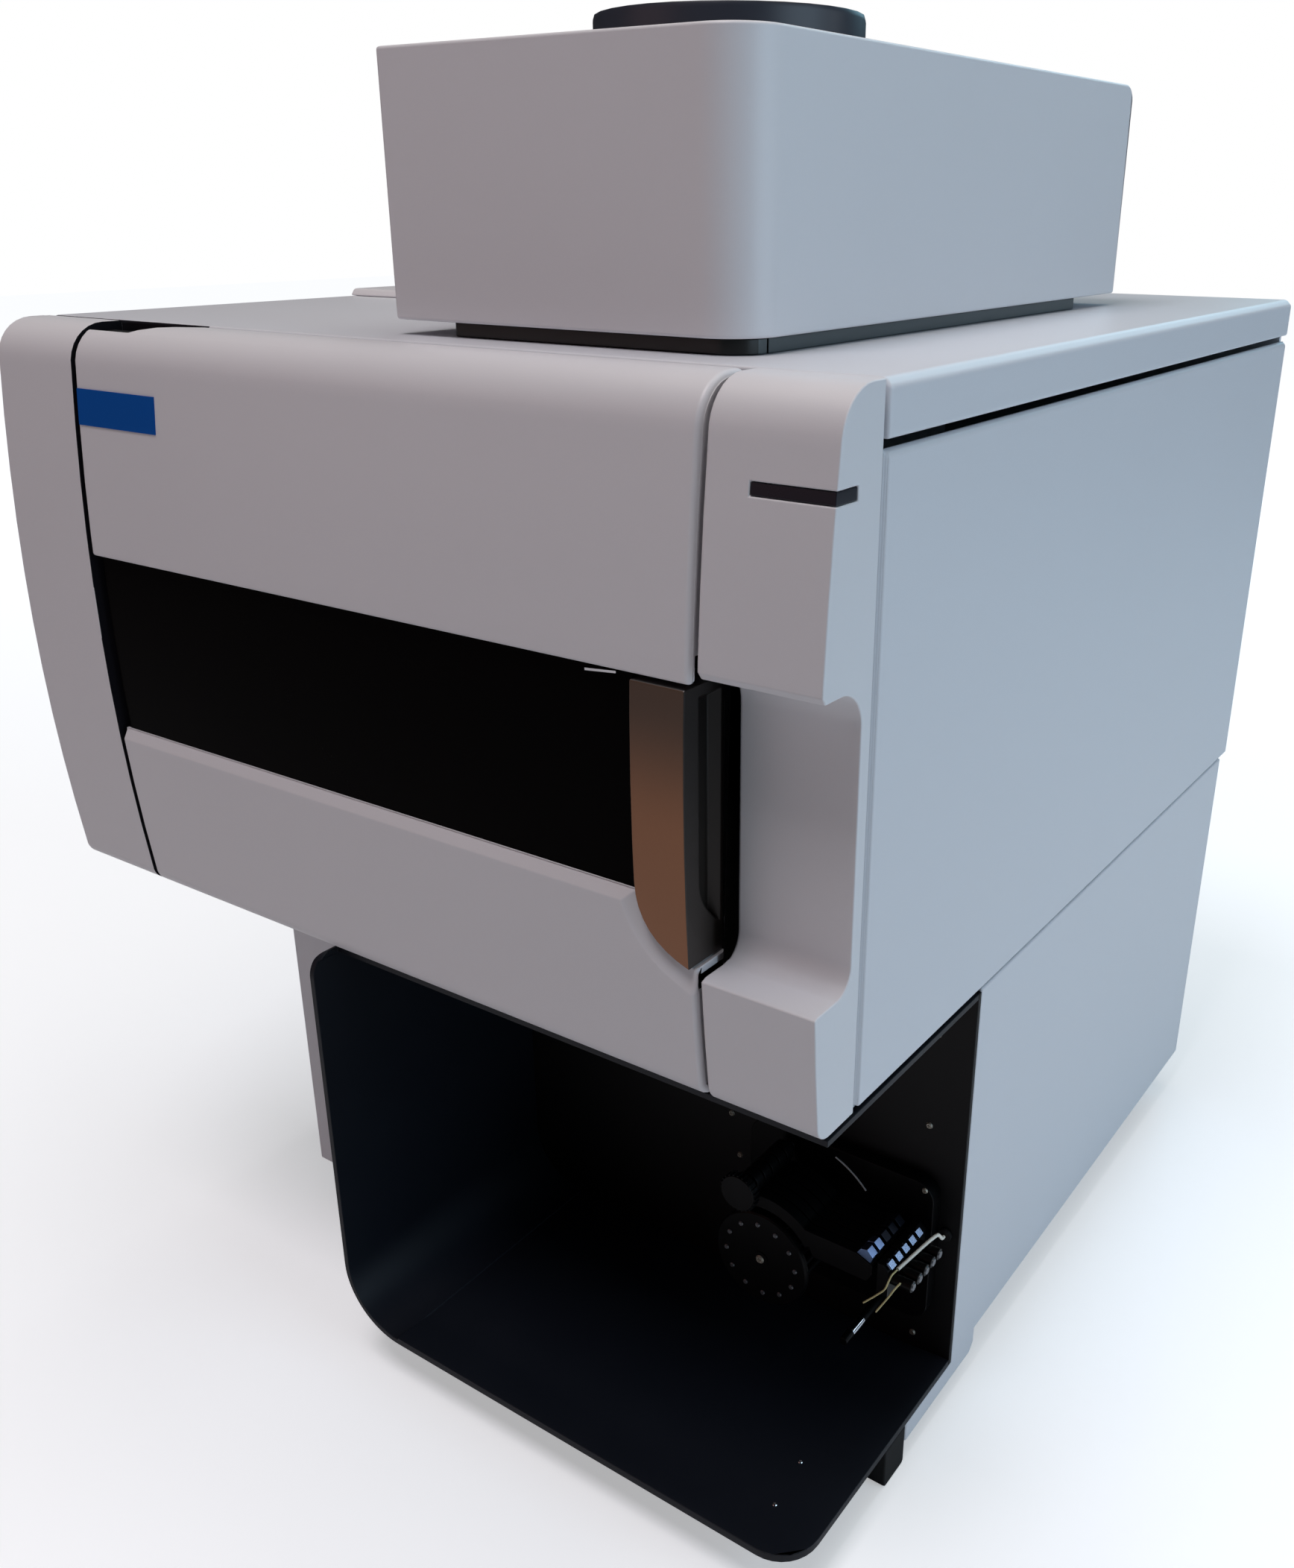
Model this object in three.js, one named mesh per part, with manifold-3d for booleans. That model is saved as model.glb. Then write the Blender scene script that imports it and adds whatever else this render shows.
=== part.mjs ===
// Bench-top optical emission spectrometer with an inductively coupled plasma, in millimetres.
// X runs across the front to the operator's right, Y runs to the back, Z up from the bench.
import * as THREE from 'three';
import { mergeVertices } from 'three/addons/utils/BufferGeometryUtils.js';
import Module from 'manifold-3d';

const wasm = await Module();
wasm.setup();

// Overall sizes
const bodyWidth = 625;
const sideDepth = 657;
const frontBulge = 50;
const rearReach = 33;
const coverTop = 706;
const moduleHeight = 376;

// Clearances and stock thicknesses
const seat = 0.3;
const seam = 3.5;
const overrun = 20;
const mouldWall = 4.5;
const panelSheet = 4;
const linerSheet = 4;
const chassisSheet = 3;
const edgeBevel = 3;

// Facet counts
const arcSteps = 8;
const bowSteps = 10;
const roundSteps = 32;
const smallSteps = 12;

// Datum planes
const right = bodyWidth / 2;
const left = -right;
const front = -(frontBulge + sideDepth + rearReach) / 2;
const groove = front + frontBulge;
const back = groove + sideDepth;
const moduleBottom = coverTop - moduleHeight;

// Colours and finishes
const finish = (color, roughness, metalness) => new THREE.MeshStandardMaterial({
  color, roughness, metalness });
const coverWhite = finish(0xd9dbe0, 0.55, 0);
const deepBlack = finish(0x0b0d12, 0.45, 0);
const windowBlack = finish(0x050506, 0.12, 0);
const handleBronze = finish(0x7a6657, 0.4, 0.6);
const plinthGrey = finish(0x24292b, 0.6, 0.1);
const bareSteel = finish(0x9aa0a4, 0.35, 0.9);
const zincSteel = finish(0x8d9296, 0.45, 0.8);
const lampGrey = finish(0x4a5054, 0.3, 0);
const quartz = finish(0xe8eef0, 0.05, 0);
const copper = finish(0xb4673a, 0.3, 0.9);
const brass = finish(0xb5964f, 0.35, 0.9);
const ceramic = finish(0xe9e4d8, 0.6, 0);
const rubberBlack = finish(0x141414, 0.85, 0);
const tubeWhite = finish(0xe9e7dc, 0.5, 0);

// Turning geometries into solids and back
const weldShare = 1e-4;
const solid = (geometry) => {
  const bare = geometry.index ? geometry.toNonIndexed() : geometry.clone();
  bare.deleteAttribute('normal');
  bare.deleteAttribute('uv');
  const welded = mergeVertices(bare, weldShare);
  const vertProperties = new Float32Array(welded.attributes.position.array);
  const triVerts = new Uint32Array(welded.index.array);
  return new wasm.Manifold(new wasm.Mesh({ numProp: 3, vertProperties, triVerts }));
};
const geometryOf = (body) => {
  const mesh = body.getMesh();
  const geometry = new THREE.BufferGeometry();
  const corners = new Float32Array(mesh.vertProperties);
  geometry.setAttribute('position', new THREE.BufferAttribute(corners, mesh.numProp));
  geometry.setIndex(new THREE.BufferAttribute(new Uint32Array(mesh.triVerts), 1));
  geometry.computeVertexNormals();
  return geometry;
};
const join = (first, ...others) => others.reduce((sum, other) => sum.add(other), first);
const cut = (first, ...others) => others.reduce((rest, other) => rest.subtract(other), first);

// A block between two corners
const block = (x0, x1, y0, y1, z0, z1) => {
  const geometry = new THREE.BoxGeometry(x1 - x0, y1 - y0, z1 - z0);
  geometry.translate((x0 + x1) / 2, (y0 + y1) / 2, (z0 + z1) / 2);
  return solid(geometry);
};

// Extrusions of an outline along each axis
const outlineOf = (points) => new THREE.Shape(points.map(([u, v]) => new THREE.Vector2(u, v)));
const raise = (shape, depth, steps = arcSteps) => new THREE.ExtrudeGeometry(
  shape, { depth, bevelEnabled: false, curveSegments: steps });
const alongX = (shape, x0, x1, steps) => {
  const geometry = raise(shape, x1 - x0, steps);
  geometry.applyMatrix4(new THREE.Matrix4().makeBasis(
    new THREE.Vector3(0, 1, 0), new THREE.Vector3(0, 0, 1), new THREE.Vector3(1, 0, 0)));
  geometry.translate(x0, 0, 0);
  return solid(geometry);
};
const alongY = (shape, y0, y1, steps) => {
  const geometry = raise(shape, y1 - y0, steps);
  geometry.applyMatrix4(new THREE.Matrix4().makeBasis(
    new THREE.Vector3(1, 0, 0), new THREE.Vector3(0, 0, 1), new THREE.Vector3(0, -1, 0)));
  geometry.translate(0, y1, 0);
  return solid(geometry);
};
const alongZ = (shape, z0, z1, steps) => {
  const geometry = raise(shape, z1 - z0, steps);
  geometry.translate(0, 0, z0);
  return solid(geometry);
};

// Round bars along each axis
const barX = (x0, x1, y, z, radius, steps = roundSteps) => {
  const geometry = new THREE.CylinderGeometry(radius, radius, x1 - x0, steps);
  geometry.rotateZ(Math.PI / 2);
  geometry.translate((x0 + x1) / 2, y, z);
  return solid(geometry);
};
const barY = (y0, y1, x, z, radius, steps = roundSteps) => {
  const geometry = new THREE.CylinderGeometry(radius, radius, y1 - y0, steps);
  geometry.translate(x, (y0 + y1) / 2, z);
  return solid(geometry);
};
const barZ = (z0, z1, x, y, radius, steps = roundSteps) => {
  const geometry = new THREE.CylinderGeometry(radius, radius, z1 - z0, steps);
  geometry.rotateX(Math.PI / 2);
  geometry.translate(x, y, (z0 + z1) / 2);
  return solid(geometry);
};
const turned = (profile, steps = roundSteps) => {
  const geometry = new THREE.LatheGeometry(profile.map(([r, h]) => new THREE.Vector2(r, h)), steps);
  geometry.rotateX(Math.PI / 2);
  return solid(geometry);
};

// A body drawn through rings of equal count with a cap at each end, the rings seen along Y unless told
const seenAlongY = ([x, , z]) => new THREE.Vector2(x, z);
const loft = (rings, seen = seenAlongY) => {
  const count = rings[0].length;
  const corners = rings.flat().flat();
  const caps = THREE.ShapeUtils.triangulateShape(rings[0].map(seen), []);
  const faces = [];
  for (let ring = 0; ring < rings.length - 1; ring += 1) {
    for (let here = 0; here < count; here += 1) {
      const next = (here + 1) % count;
      const near = ring * count;
      const far = near + count;
      faces.push(near + here, near + next, far + next, near + here, far + next, far + here);
    }
  }
  const last = (rings.length - 1) * count;
  caps.forEach(([a, b, c]) => faces.push(c, b, a, last + a, last + b, last + c));
  const geometry = new THREE.BufferGeometry();
  geometry.setAttribute('position', new THREE.BufferAttribute(new Float32Array(corners), 3));
  geometry.setIndex(faces);
  return solid(geometry);
};

// A rectangle with its own radius at each corner, from the lower left one round
const roundedRect = (x0, x1, y0, y1, [lowLeft, lowRight, highRight, highLeft]) => {
  const shape = new THREE.Shape();
  shape.moveTo(x0 + lowLeft, y0);
  shape.lineTo(x1 - lowRight, y0);
  if (lowRight) shape.absarc(x1 - lowRight, y0 + lowRight, lowRight, -Math.PI / 2, 0);
  shape.lineTo(x1, y1 - highRight);
  if (highRight) shape.absarc(x1 - highRight, y1 - highRight, highRight, 0, Math.PI / 2);
  shape.lineTo(x0 + highLeft, y1);
  if (highLeft) shape.absarc(x0 + highLeft, y1 - highLeft, highLeft, Math.PI / 2, Math.PI);
  shape.lineTo(x0, y0 + lowLeft);
  if (lowLeft) shape.absarc(x0 + lowLeft, y0 + lowLeft, lowLeft, Math.PI, Math.PI * 1.5);
  return shape;
};

// The instrument and its moving bodies
const instrument = new THREE.Group();
instrument.name = 'plasma_spectrometer';
const place = (name, body, material) => {
  const mesh = new THREE.Mesh(geometryOf(body), material);
  mesh.name = name;
  instrument.add(mesh);
};

// The bowed front that the door and both columns share, seen from the side
const bowSag = 10;
const crownRadius = 26;
const chinRadius = 12;
const bowTop = coverTop - crownRadius;
const bowFoot = moduleBottom + chinRadius;
const bowMiddle = (bowTop + bowFoot) / 2;
const bowHalf = (bowTop - bowFoot) / 2;
const bowFront = (z) => front + bowSag * ((z - bowMiddle) / bowHalf) ** 2;
const arcPoints = (cy, cz, radius, from, to) => Array.from({ length: arcSteps + 1 }, (unused, step) => {
  const angle = from + (to - from) * step / arcSteps;
  return [cy + radius * Math.cos(angle), cz + radius * Math.sin(angle)];
});
// The outline from the rear of the top edge, over the crown, down the bow and under the chin
const frontLine = (inset, rearTop, rearFoot) => {
  const crownCentre = front + bowSag + crownRadius;
  const chinCentre = front + bowSag + chinRadius;
  const crown = arcPoints(crownCentre, bowTop, crownRadius - inset, Math.PI / 2, Math.PI);
  const chin = arcPoints(chinCentre, bowFoot, chinRadius - inset, Math.PI, Math.PI * 1.5);
  const bow = Array.from({ length: bowSteps - 1 }, (unused, step) => {
    const z = bowTop - (bowTop - bowFoot) * (step + 1) / bowSteps;
    return [bowFront(z) + inset, z];
  });
  return [[rearTop, coverTop - inset], ...crown, ...bow, ...chin, [rearFoot, moduleBottom + inset]];
};
const frontSlab = (inset, rear, x0, x1) => alongX(outlineOf(frontLine(inset, rear, rear)), x0, x1);
const frontSkin = (thickness, rearTop, rearFoot, x0, x1) => {
  const outer = frontLine(0, rearTop, rearFoot);
  const inner = frontLine(thickness, rearTop, rearFoot).reverse();
  return alongX(outlineOf([...outer, ...inner]), x0, x1);
};

// Columns at both sides of the door
const leftColumnWidth = 80;
const rightColumnWidth = 68.7;
const columnRear = groove - seat;
const leftColumnEdge = left + leftColumnWidth;
const rightColumnEdge = right - rightColumnWidth;
const grooveDepth = 2.5;
const grooveReach = 2.5;
// A shallow groove runs down each side where a column meets its side panel
const sideGroove = (outer, y) => block(outer - grooveDepth, outer + grooveDepth,
  y - grooveReach, y + grooveReach, -overrun, coverTop + overrun);
place('left_front_column', cut(frontSlab(0, columnRear, left, leftColumnEdge),
  sideGroove(left, columnRear)), coverWhite);

// The finger scoop runs across the right column, with the status lamp slot above it
const scoopDrop = 136.5;
const scoopHeight = 161;
const scoopDepth = 38;
const scoopTop = coverTop - scoopDrop;
const scoopFoot = scoopTop - scoopHeight;
const scoopRear = front + scoopDepth;
const scoopTopRadius = 20;
const scoopFootRadius = 14;
const scoopLipRise = 4;
const scoopLipDepth = 3;
const scoopShape = new THREE.Shape();
scoopShape.moveTo(front - overrun, scoopTop + scoopLipRise);
scoopShape.lineTo(bowFront(scoopTop), scoopTop + scoopLipRise);
scoopShape.lineTo(bowFront(scoopTop) + scoopLipDepth, scoopTop);
scoopShape.lineTo(scoopRear - scoopTopRadius, scoopTop);
scoopShape.absarc(scoopRear - scoopTopRadius, scoopTop - scoopTopRadius, scoopTopRadius,
  Math.PI / 2, 0, true);
scoopShape.lineTo(scoopRear, scoopFoot + scoopFootRadius);
scoopShape.absarc(scoopRear - scoopFootRadius, scoopFoot + scoopFootRadius, scoopFootRadius,
  0, -Math.PI / 2, true);
scoopShape.lineTo(bowFront(scoopFoot) + scoopLipDepth, scoopFoot);
scoopShape.lineTo(front - overrun, scoopFoot - scoopLipRise * 2);
const scoop = alongX(scoopShape, rightColumnEdge - overrun, right + overrun);
const rightColumnBlock = frontSlab(0, columnRear, rightColumnEdge, right);
const lampDrop = 43;
const lampHeight = 6;
const lampLength = 44;
const lampTop = coverTop - lampDrop;
const lampLeft = right - lampLength;
const lampSlotDepth = 6;
const lampReturn = 18;
const lampInset = 0.5;
const lampFrontY = bowFront(lampTop);
const lampBand = (grow) => join(
  block(lampLeft - grow, right + overrun, front - overrun, lampFrontY + lampSlotDepth + grow,
    lampTop - lampHeight - grow, lampTop + grow),
  block(right - lampSlotDepth - grow, right + overrun, front - overrun, lampFrontY + lampReturn + grow,
    lampTop - lampHeight - grow, lampTop + grow));
place('right_front_column', cut(rightColumnBlock, scoop, lampBand(seat), sideGroove(right, columnRear)),
  coverWhite);
const lampLens = lampBand(0).intersect(rightColumnBlock.translate([-lampInset, lampInset, 0]));
place('status_lamp_lens', lampLens, lampGrey);

// Top cover, a moulded lid with a side flange
const coverThickness = 26.6;
const coverSetback = 2;
const coverFront = groove + coverSetback;
const coverBevel = 4;
const coverShape = outlineOf([
  [left, coverTop - coverThickness], [right, coverTop - coverThickness],
  [right, coverTop - coverBevel], [right - coverBevel, coverTop],
  [left + coverBevel, coverTop], [left, coverTop - coverBevel]]);
place('top_cover', alongY(coverShape, coverFront, back), coverWhite);

// Low cap on the lid at the rear left
const capHeight = 5.5;
const capWidth = 150;
const capDepth = 300;
const capEdge = 4;
const capSetback = 255;
const capFront = coverFront + capSetback;
const capShape = outlineOf([
  [capFront, coverTop + seat], [capFront + capDepth, coverTop + seat],
  [capFront + capDepth, coverTop + capHeight], [capFront + capEdge, coverTop + capHeight]]);
place('rear_top_cap', alongX(capShape, left + capEdge, left + capEdge + capWidth), coverWhite);

// Upper side panels, deck and rear panel of the upper module
const panelTopGap = 4.5;
const panelTop = coverTop - coverThickness - panelTopGap;
const panelFront = groove + seat;
const panelBevel = 2.5;
const sidePanel = (outer, inward, y0, y1, z0, z1) => {
  const plate = outlineOf([[outer, z0], [outer + inward * panelSheet, z0],
    [outer + inward * panelSheet, z1], [outer + inward * panelBevel, z1], [outer, z1 - panelBevel]]);
  return alongY(plate, y0, y1);
};
const panelFoot = moduleBottom + seat;
place('upper_side_panel_right', cut(sidePanel(right, -1, panelFront, back, panelFoot, panelTop),
  sideGroove(right, panelFront)), coverWhite);
place('upper_side_panel_left', cut(sidePanel(left, 1, panelFront, back, panelFoot, panelTop),
  sideGroove(left, panelFront)), coverWhite);
const deckSheet = 4;
const insideRight = right - panelSheet - seat;
const insideLeft = left + panelSheet + seat;
const rearInside = back - panelSheet - seat;
place('module_deck', block(insideLeft, insideRight, panelFront, rearInside,
  moduleBottom, moduleBottom + deckSheet), zincSteel);
const deckTop = moduleBottom + deckSheet + seat;

// The rear panel has rows of vent louvres above and the filter opening beside them
const insideTop = coverTop - coverThickness - seat;
const louvreCount = 9;
const louvrePitch = 14;
const louvreHeight = 6;
const louvreLength = 80;
const louvreColumns = 2;
const louvreSpacing = 95;
const ventMargin = 60;
const ventDrop = 50;
const louvreLeft = insideLeft + ventMargin;
const louvreTop = insideTop - ventDrop;
const filterWidth = 200;
const filterHeight = 190;
const filterRight = insideRight - ventMargin;
const filterTop = insideTop - ventDrop;
const filterBorder = 14;
const rearPlate = block(insideLeft, insideRight, back - panelSheet, back, moduleBottom + seat, insideTop);
const louvreRow = (x0, top) => block(x0, x0 + louvreLength, back - panelSheet - overrun, back + overrun,
  top - louvreHeight, top);
const louvres = Array.from({ length: louvreCount * louvreColumns }, (unused, index) => louvreRow(
  louvreLeft + (index % louvreColumns) * louvreSpacing,
  louvreTop - Math.floor(index / louvreColumns) * louvrePitch));
const filterHole = block(filterRight - filterWidth + filterBorder, filterRight - filterBorder,
  back - panelSheet - overrun, back + overrun,
  filterTop - filterHeight + filterBorder, filterTop - filterBorder);
place('upper_rear_panel', cut(rearPlate, ...louvres, filterHole), coverWhite);

// Air filter frame with its slats
const slatCount = 10;
const slatHeight = 7;
const slatMullion = 6;
const filterFrame = cut(
  block(filterRight - filterWidth, filterRight, back + seat, back + rearReach,
    filterTop - filterHeight, filterTop),
  block(filterRight - filterWidth + filterBorder, filterRight - filterBorder, back - overrun,
    back + rearReach + overrun, filterTop - filterHeight + filterBorder, filterTop - filterBorder));
const slatSpan = filterHeight - 2 * filterBorder;
const slats = Array.from({ length: slatCount }, (unused, row) => {
  const low = filterTop - filterHeight + filterBorder + slatSpan * (row + 0.5) / slatCount - slatHeight / 2;
  return block(filterRight - filterWidth + filterBorder / 2, filterRight - filterBorder / 2,
    back + rearReach / 2, back + rearReach - panelSheet, low, low + slatHeight);
});
const filterMiddle = filterRight - filterWidth / 2;
const mullion = block(filterMiddle - slatMullion / 2, filterMiddle + slatMullion / 2,
  back + rearReach / 2, back + rearReach - panelSheet,
  filterTop - filterHeight + filterBorder / 2, filterTop - filterBorder / 2);
place('air_filter_frame', join(filterFrame, mullion, ...slats), plinthGrey);

// Exhaust housing on its plinth, with the duct collar on top
const exhaustWidth = 238;
const exhaustDepth = 488.5;
const exhaustHeight = 137;
const exhaustInset = 93;
const exhaustSetback = 29;
const exhaustRadius = 28;
const exhaustCrown = 13;
const exhaustSheet = 2.5;
const exhaustFlange = 60;
const plinthHeight = 8;
const plinthRadius = 18;
const plinthSideInset = 5;
const plinthLeftInset = 39;
const plinthFrontInset = 6;
const plinthDepth = 420;
const plinthWall = 30;
const exhaustRight = right - exhaustInset;
const exhaustLeft = exhaustRight - exhaustWidth;
const exhaustFront = groove + exhaustSetback;
const exhaustRear = exhaustFront + exhaustDepth;
const exhaustBase = coverTop + plinthHeight;
const exhaustTop = exhaustBase + exhaustHeight;
const sharpCorner = 3;
const exhaustPlan = (inset) => roundedRect(exhaustLeft + inset, exhaustRight - inset,
  exhaustFront + inset, exhaustRear - inset,
  [sharpCorner, Math.max(exhaustRadius - inset, sharpCorner), sharpCorner, sharpCorner]);
// The upper rear edge of the hood is rounded, seen from the side
const exhaustSide = (inset) => alongX(roundedRect(exhaustFront - overrun, exhaustRear - inset,
  exhaustBase - overrun, exhaustTop - inset, [0, 0, exhaustCrown - inset, 0]), left, right);
const collarRadius = 77;
const collarWall = 4;
const collarHeight = 20;
const collarX = (exhaustLeft + exhaustRight) / 2;
const collarSetback = 158.5;
const collarY = exhaustFront + collarSetback;
const exhaustOuter = alongZ(exhaustPlan(0), exhaustBase, exhaustTop).intersect(exhaustSide(0));
const exhaustInner = alongZ(exhaustPlan(exhaustSheet),
  exhaustBase + exhaustSheet, exhaustTop - exhaustSheet).intersect(exhaustSide(exhaustSheet));
const exhaustIntake = alongZ(exhaustPlan(exhaustFlange), exhaustBase - overrun, exhaustBase + overrun);
const ductHole = barZ(exhaustTop - overrun, exhaustTop + overrun, collarX, collarY,
  collarRadius - collarWall - seat);
place('exhaust_housing', cut(exhaustOuter, exhaustInner, exhaustIntake, ductHole), coverWhite);
const plinthPlan = (inset) => roundedRect(
  exhaustLeft + plinthLeftInset + inset, exhaustRight - plinthSideInset - inset,
  exhaustFront + plinthFrontInset + inset, exhaustFront + plinthFrontInset + plinthDepth - inset,
  [sharpCorner, Math.max(plinthRadius - inset, sharpCorner), sharpCorner, sharpCorner]);
const plinthJoint = 1.5;
const plinthJointY = exhaustFront + plinthFrontInset + plinthRadius + plinthJoint;
const plinthRight = exhaustRight - plinthSideInset;
place('exhaust_plinth', cut(alongZ(plinthPlan(0), coverTop + seat, exhaustBase - seat),
  alongZ(plinthPlan(plinthWall), coverTop - overrun, exhaustBase + overrun),
  block(plinthRight - plinthJoint, plinthRight + overrun, plinthJointY, plinthJointY + plinthJoint,
    coverTop - overrun, exhaustBase + overrun)), plinthGrey);
const collarLip = 6;
const collarLipHeight = 3;
const collarRing = turned([
  [collarRadius - collarWall, 0], [collarRadius, 0], [collarRadius, collarHeight - collarLipHeight],
  [collarRadius - collarWall / 4, collarHeight], [collarRadius - collarWall, collarHeight],
  [collarRadius - collarWall, 0]]);
const collarFlange = turned([
  [collarRadius - collarWall, 0], [collarRadius + collarLip, 0],
  [collarRadius + collarLip, collarLipHeight / 2], [collarRadius - collarWall, collarLipHeight / 2],
  [collarRadius - collarWall, 0]]);
const collar = join(collarRing, collarFlange);
place('exhaust_collar', collar.translate([collarX, collarY, exhaustTop + seat]), plinthGrey);

// Sample bay liner: ceiling, left wall and tray in one moulding, open to the front and the right
const bayWidth = 376;
const bayTopGap = 2.5;
const bayDepth = 202;
const baySetback = 1;
const bayDrop = 674;
const bayUnder = coverTop - bayDrop;
const bayRimHeight = 5.5;
const bayFloor = 3;
const baySmallRadius = 6;
const bayCrownRadius = 16;
const bayCeilingSetback = 20;
const bayLargeRadius = 48;
const rimFlat = 8;
const rimSlope = 24;
const trayCornerRadius = 27;
const bayLeft = right - bayWidth;
const bayTop = moduleBottom - bayTopGap;
const bayFront = front + baySetback;
const bayRear = bayFront + bayDepth;
const linerShape = new THREE.Shape();
linerShape.moveTo(right, bayTop - linerSheet);
linerShape.lineTo(right, bayTop);
linerShape.lineTo(bayLeft + baySmallRadius, bayTop);
linerShape.absarc(bayLeft + baySmallRadius, bayTop - baySmallRadius, baySmallRadius,
  Math.PI / 2, Math.PI);
linerShape.lineTo(bayLeft, bayUnder + bayLargeRadius);
linerShape.absarc(bayLeft + bayLargeRadius, bayUnder + bayLargeRadius, bayLargeRadius,
  Math.PI, Math.PI * 1.5);
linerShape.lineTo(right, bayUnder);
linerShape.lineTo(right, bayUnder + bayRimHeight);
linerShape.lineTo(right - rimFlat, bayUnder + bayRimHeight);
linerShape.lineTo(right - rimFlat - rimSlope, bayUnder + bayFloor);
linerShape.lineTo(bayLeft + bayLargeRadius, bayUnder + bayFloor);
linerShape.absarc(bayLeft + bayLargeRadius, bayUnder + bayLargeRadius, bayLargeRadius - linerSheet,
  Math.PI * 1.5, Math.PI, true);
linerShape.lineTo(bayLeft + linerSheet, bayTop - baySmallRadius);
linerShape.absarc(bayLeft + baySmallRadius, bayTop - baySmallRadius, baySmallRadius - linerSheet,
  Math.PI, Math.PI / 2, true);
const trayLip = alongX(outlineOf([
  [bayFront, bayUnder], [bayFront, bayUnder + bayRimHeight], [bayFront + rimFlat, bayUnder + bayRimHeight],
  [bayFront + rimFlat + rimSlope, bayUnder + bayFloor], [bayFront + rimFlat + rimSlope, bayUnder]]),
bayLeft + bayLargeRadius, right);
const cornerPost = (radius) => cut(
  block(right - radius, right + overrun, bayFront - overrun, bayFront + radius,
    bayUnder - overrun, bayUnder + overrun),
  barZ(bayUnder - 2 * overrun, bayUnder + 2 * overrun, right - radius, bayFront + radius,
    radius, roundSteps));
// The wall's upper front corner is rounded, and the ceiling starts behind the lower edge of the door
const bayCrown = new THREE.Shape();
bayCrown.moveTo(bayFront - overrun, bayTop - bayCrownRadius);
bayCrown.lineTo(bayFront, bayTop - bayCrownRadius);
bayCrown.absarc(bayFront + bayCrownRadius, bayTop - bayCrownRadius, bayCrownRadius,
  Math.PI, Math.PI / 2, true);
bayCrown.lineTo(bayFront + bayCrownRadius, bayTop + overrun);
bayCrown.lineTo(bayFront - overrun, bayTop + overrun);
const bayCeilingCut = block(bayLeft + baySmallRadius, right + overrun, bayFront - overrun,
  bayFront + bayCeilingSetback, bayTop - baySmallRadius, bayTop + overrun);
place('sample_bay_liner', cut(join(alongY(linerShape, bayFront, bayRear), trayLip),
  cornerPost(trayCornerRadius), alongX(bayCrown, bayLeft - overrun, right + overrun), bayCeilingCut),
deepBlack);
const bayWallFront = bayRear + seat;
const bayWallRear = bayWallFront + linerSheet;
place('sample_bay_back_wall', block(bayLeft, right, bayWallFront, bayWallRear, bayUnder, bayTop), deepBlack);

// Lower cabinet: side, front and rear panels on the base pan
const lowerInsetLeft = 88;
const lowerFrontSetback = 64;
const lowerRearInset = 15;
const hemDrop = 672;
const skirtDrop = 690;
const skirtFront = 91;
const skirtRear = 195;
const skirtBevel = 6;
const lowerGap = 1;
const rearTaper = 5;
const lowerLeft = left + lowerInsetLeft;
const lowerRear = back - lowerRearInset;
const hem = coverTop - hemDrop;
const lowerTop = moduleBottom - lowerGap;
const rightPanelShape = outlineOf([
  [bayWallRear + seat, lowerTop], [lowerRear, lowerTop], [lowerRear - rearTaper, hem],
  [groove + skirtRear, hem], [groove + skirtRear, coverTop - skirtDrop + skirtBevel],
  [groove + skirtRear - skirtBevel, coverTop - skirtDrop], [groove + skirtFront, coverTop - skirtDrop],
  [groove + skirtFront, bayUnder - seat], [bayWallRear + seat, bayUnder - seat]]);
place('lower_side_panel_right', alongX(rightPanelShape, right - panelSheet, right), coverWhite);
const lowerFront = groove + lowerFrontSetback;
const leftPanelShape = outlineOf([
  [lowerFront + panelSheet + seat, lowerTop], [lowerRear, lowerTop],
  [lowerRear - rearTaper, hem], [lowerFront + panelSheet + seat, hem]]);
place('lower_side_panel_left', alongX(leftPanelShape, lowerLeft, lowerLeft + panelSheet), coverWhite);
place('lower_front_panel', block(lowerLeft, bayLeft - seat, lowerFront, lowerFront + panelSheet,
  hem, lowerTop), coverWhite);
const lowerInsideLeft = lowerLeft + panelSheet + seat;
const lowerInsideRight = right - panelSheet - seat;
const lowerRearPlate = block(lowerInsideLeft, lowerInsideRight, lowerRear - rearTaper - panelSheet - seat,
  lowerRear - rearTaper - seat, hem, lowerTop);
const lowerVentCount = 6;
const lowerVentPitch = 12;
const lowerVentHeight = 5;
const lowerVentLength = 80;
const lowerVentMargin = 40;
const lowerVents = Array.from({ length: lowerVentCount }, (unused, row) => {
  const top = lowerTop - lowerVentMargin - row * lowerVentPitch;
  return block(lowerInsideLeft + lowerVentMargin, lowerInsideLeft + lowerVentMargin + lowerVentLength,
    lowerRear - overrun, lowerRear + overrun, top - lowerVentHeight, top);
});
place('lower_rear_panel', cut(lowerRearPlate, ...lowerVents), coverWhite);

// Base pan in the shape of an L, round the back of the sample bay
const panSheet = 4;
const panRear = lowerRear - rearTaper - panelSheet - 2 * seat;
const panFront = lowerFront + panelSheet + seat;
const panPlan = outlineOf([
  [lowerInsideLeft, panFront], [bayLeft - seat, panFront], [bayLeft - seat, bayWallRear + seat],
  [lowerInsideRight, bayWallRear + seat], [lowerInsideRight, panRear], [lowerInsideLeft, panRear]]);
const panTop = hem + panSheet;
const ribHeight = 18;
const ribWidth = 12;
const ribInset = 120;
const panRib = (x) => block(x, x + ribWidth, bayWallRear + overrun, panRear - overrun,
  hem, panTop + ribHeight);
place('base_pan', join(alongZ(panPlan, hem, panTop),
  panRib(lowerInsideLeft + ribInset), panRib(lowerInsideRight - ribInset)), zincSteel);

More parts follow.
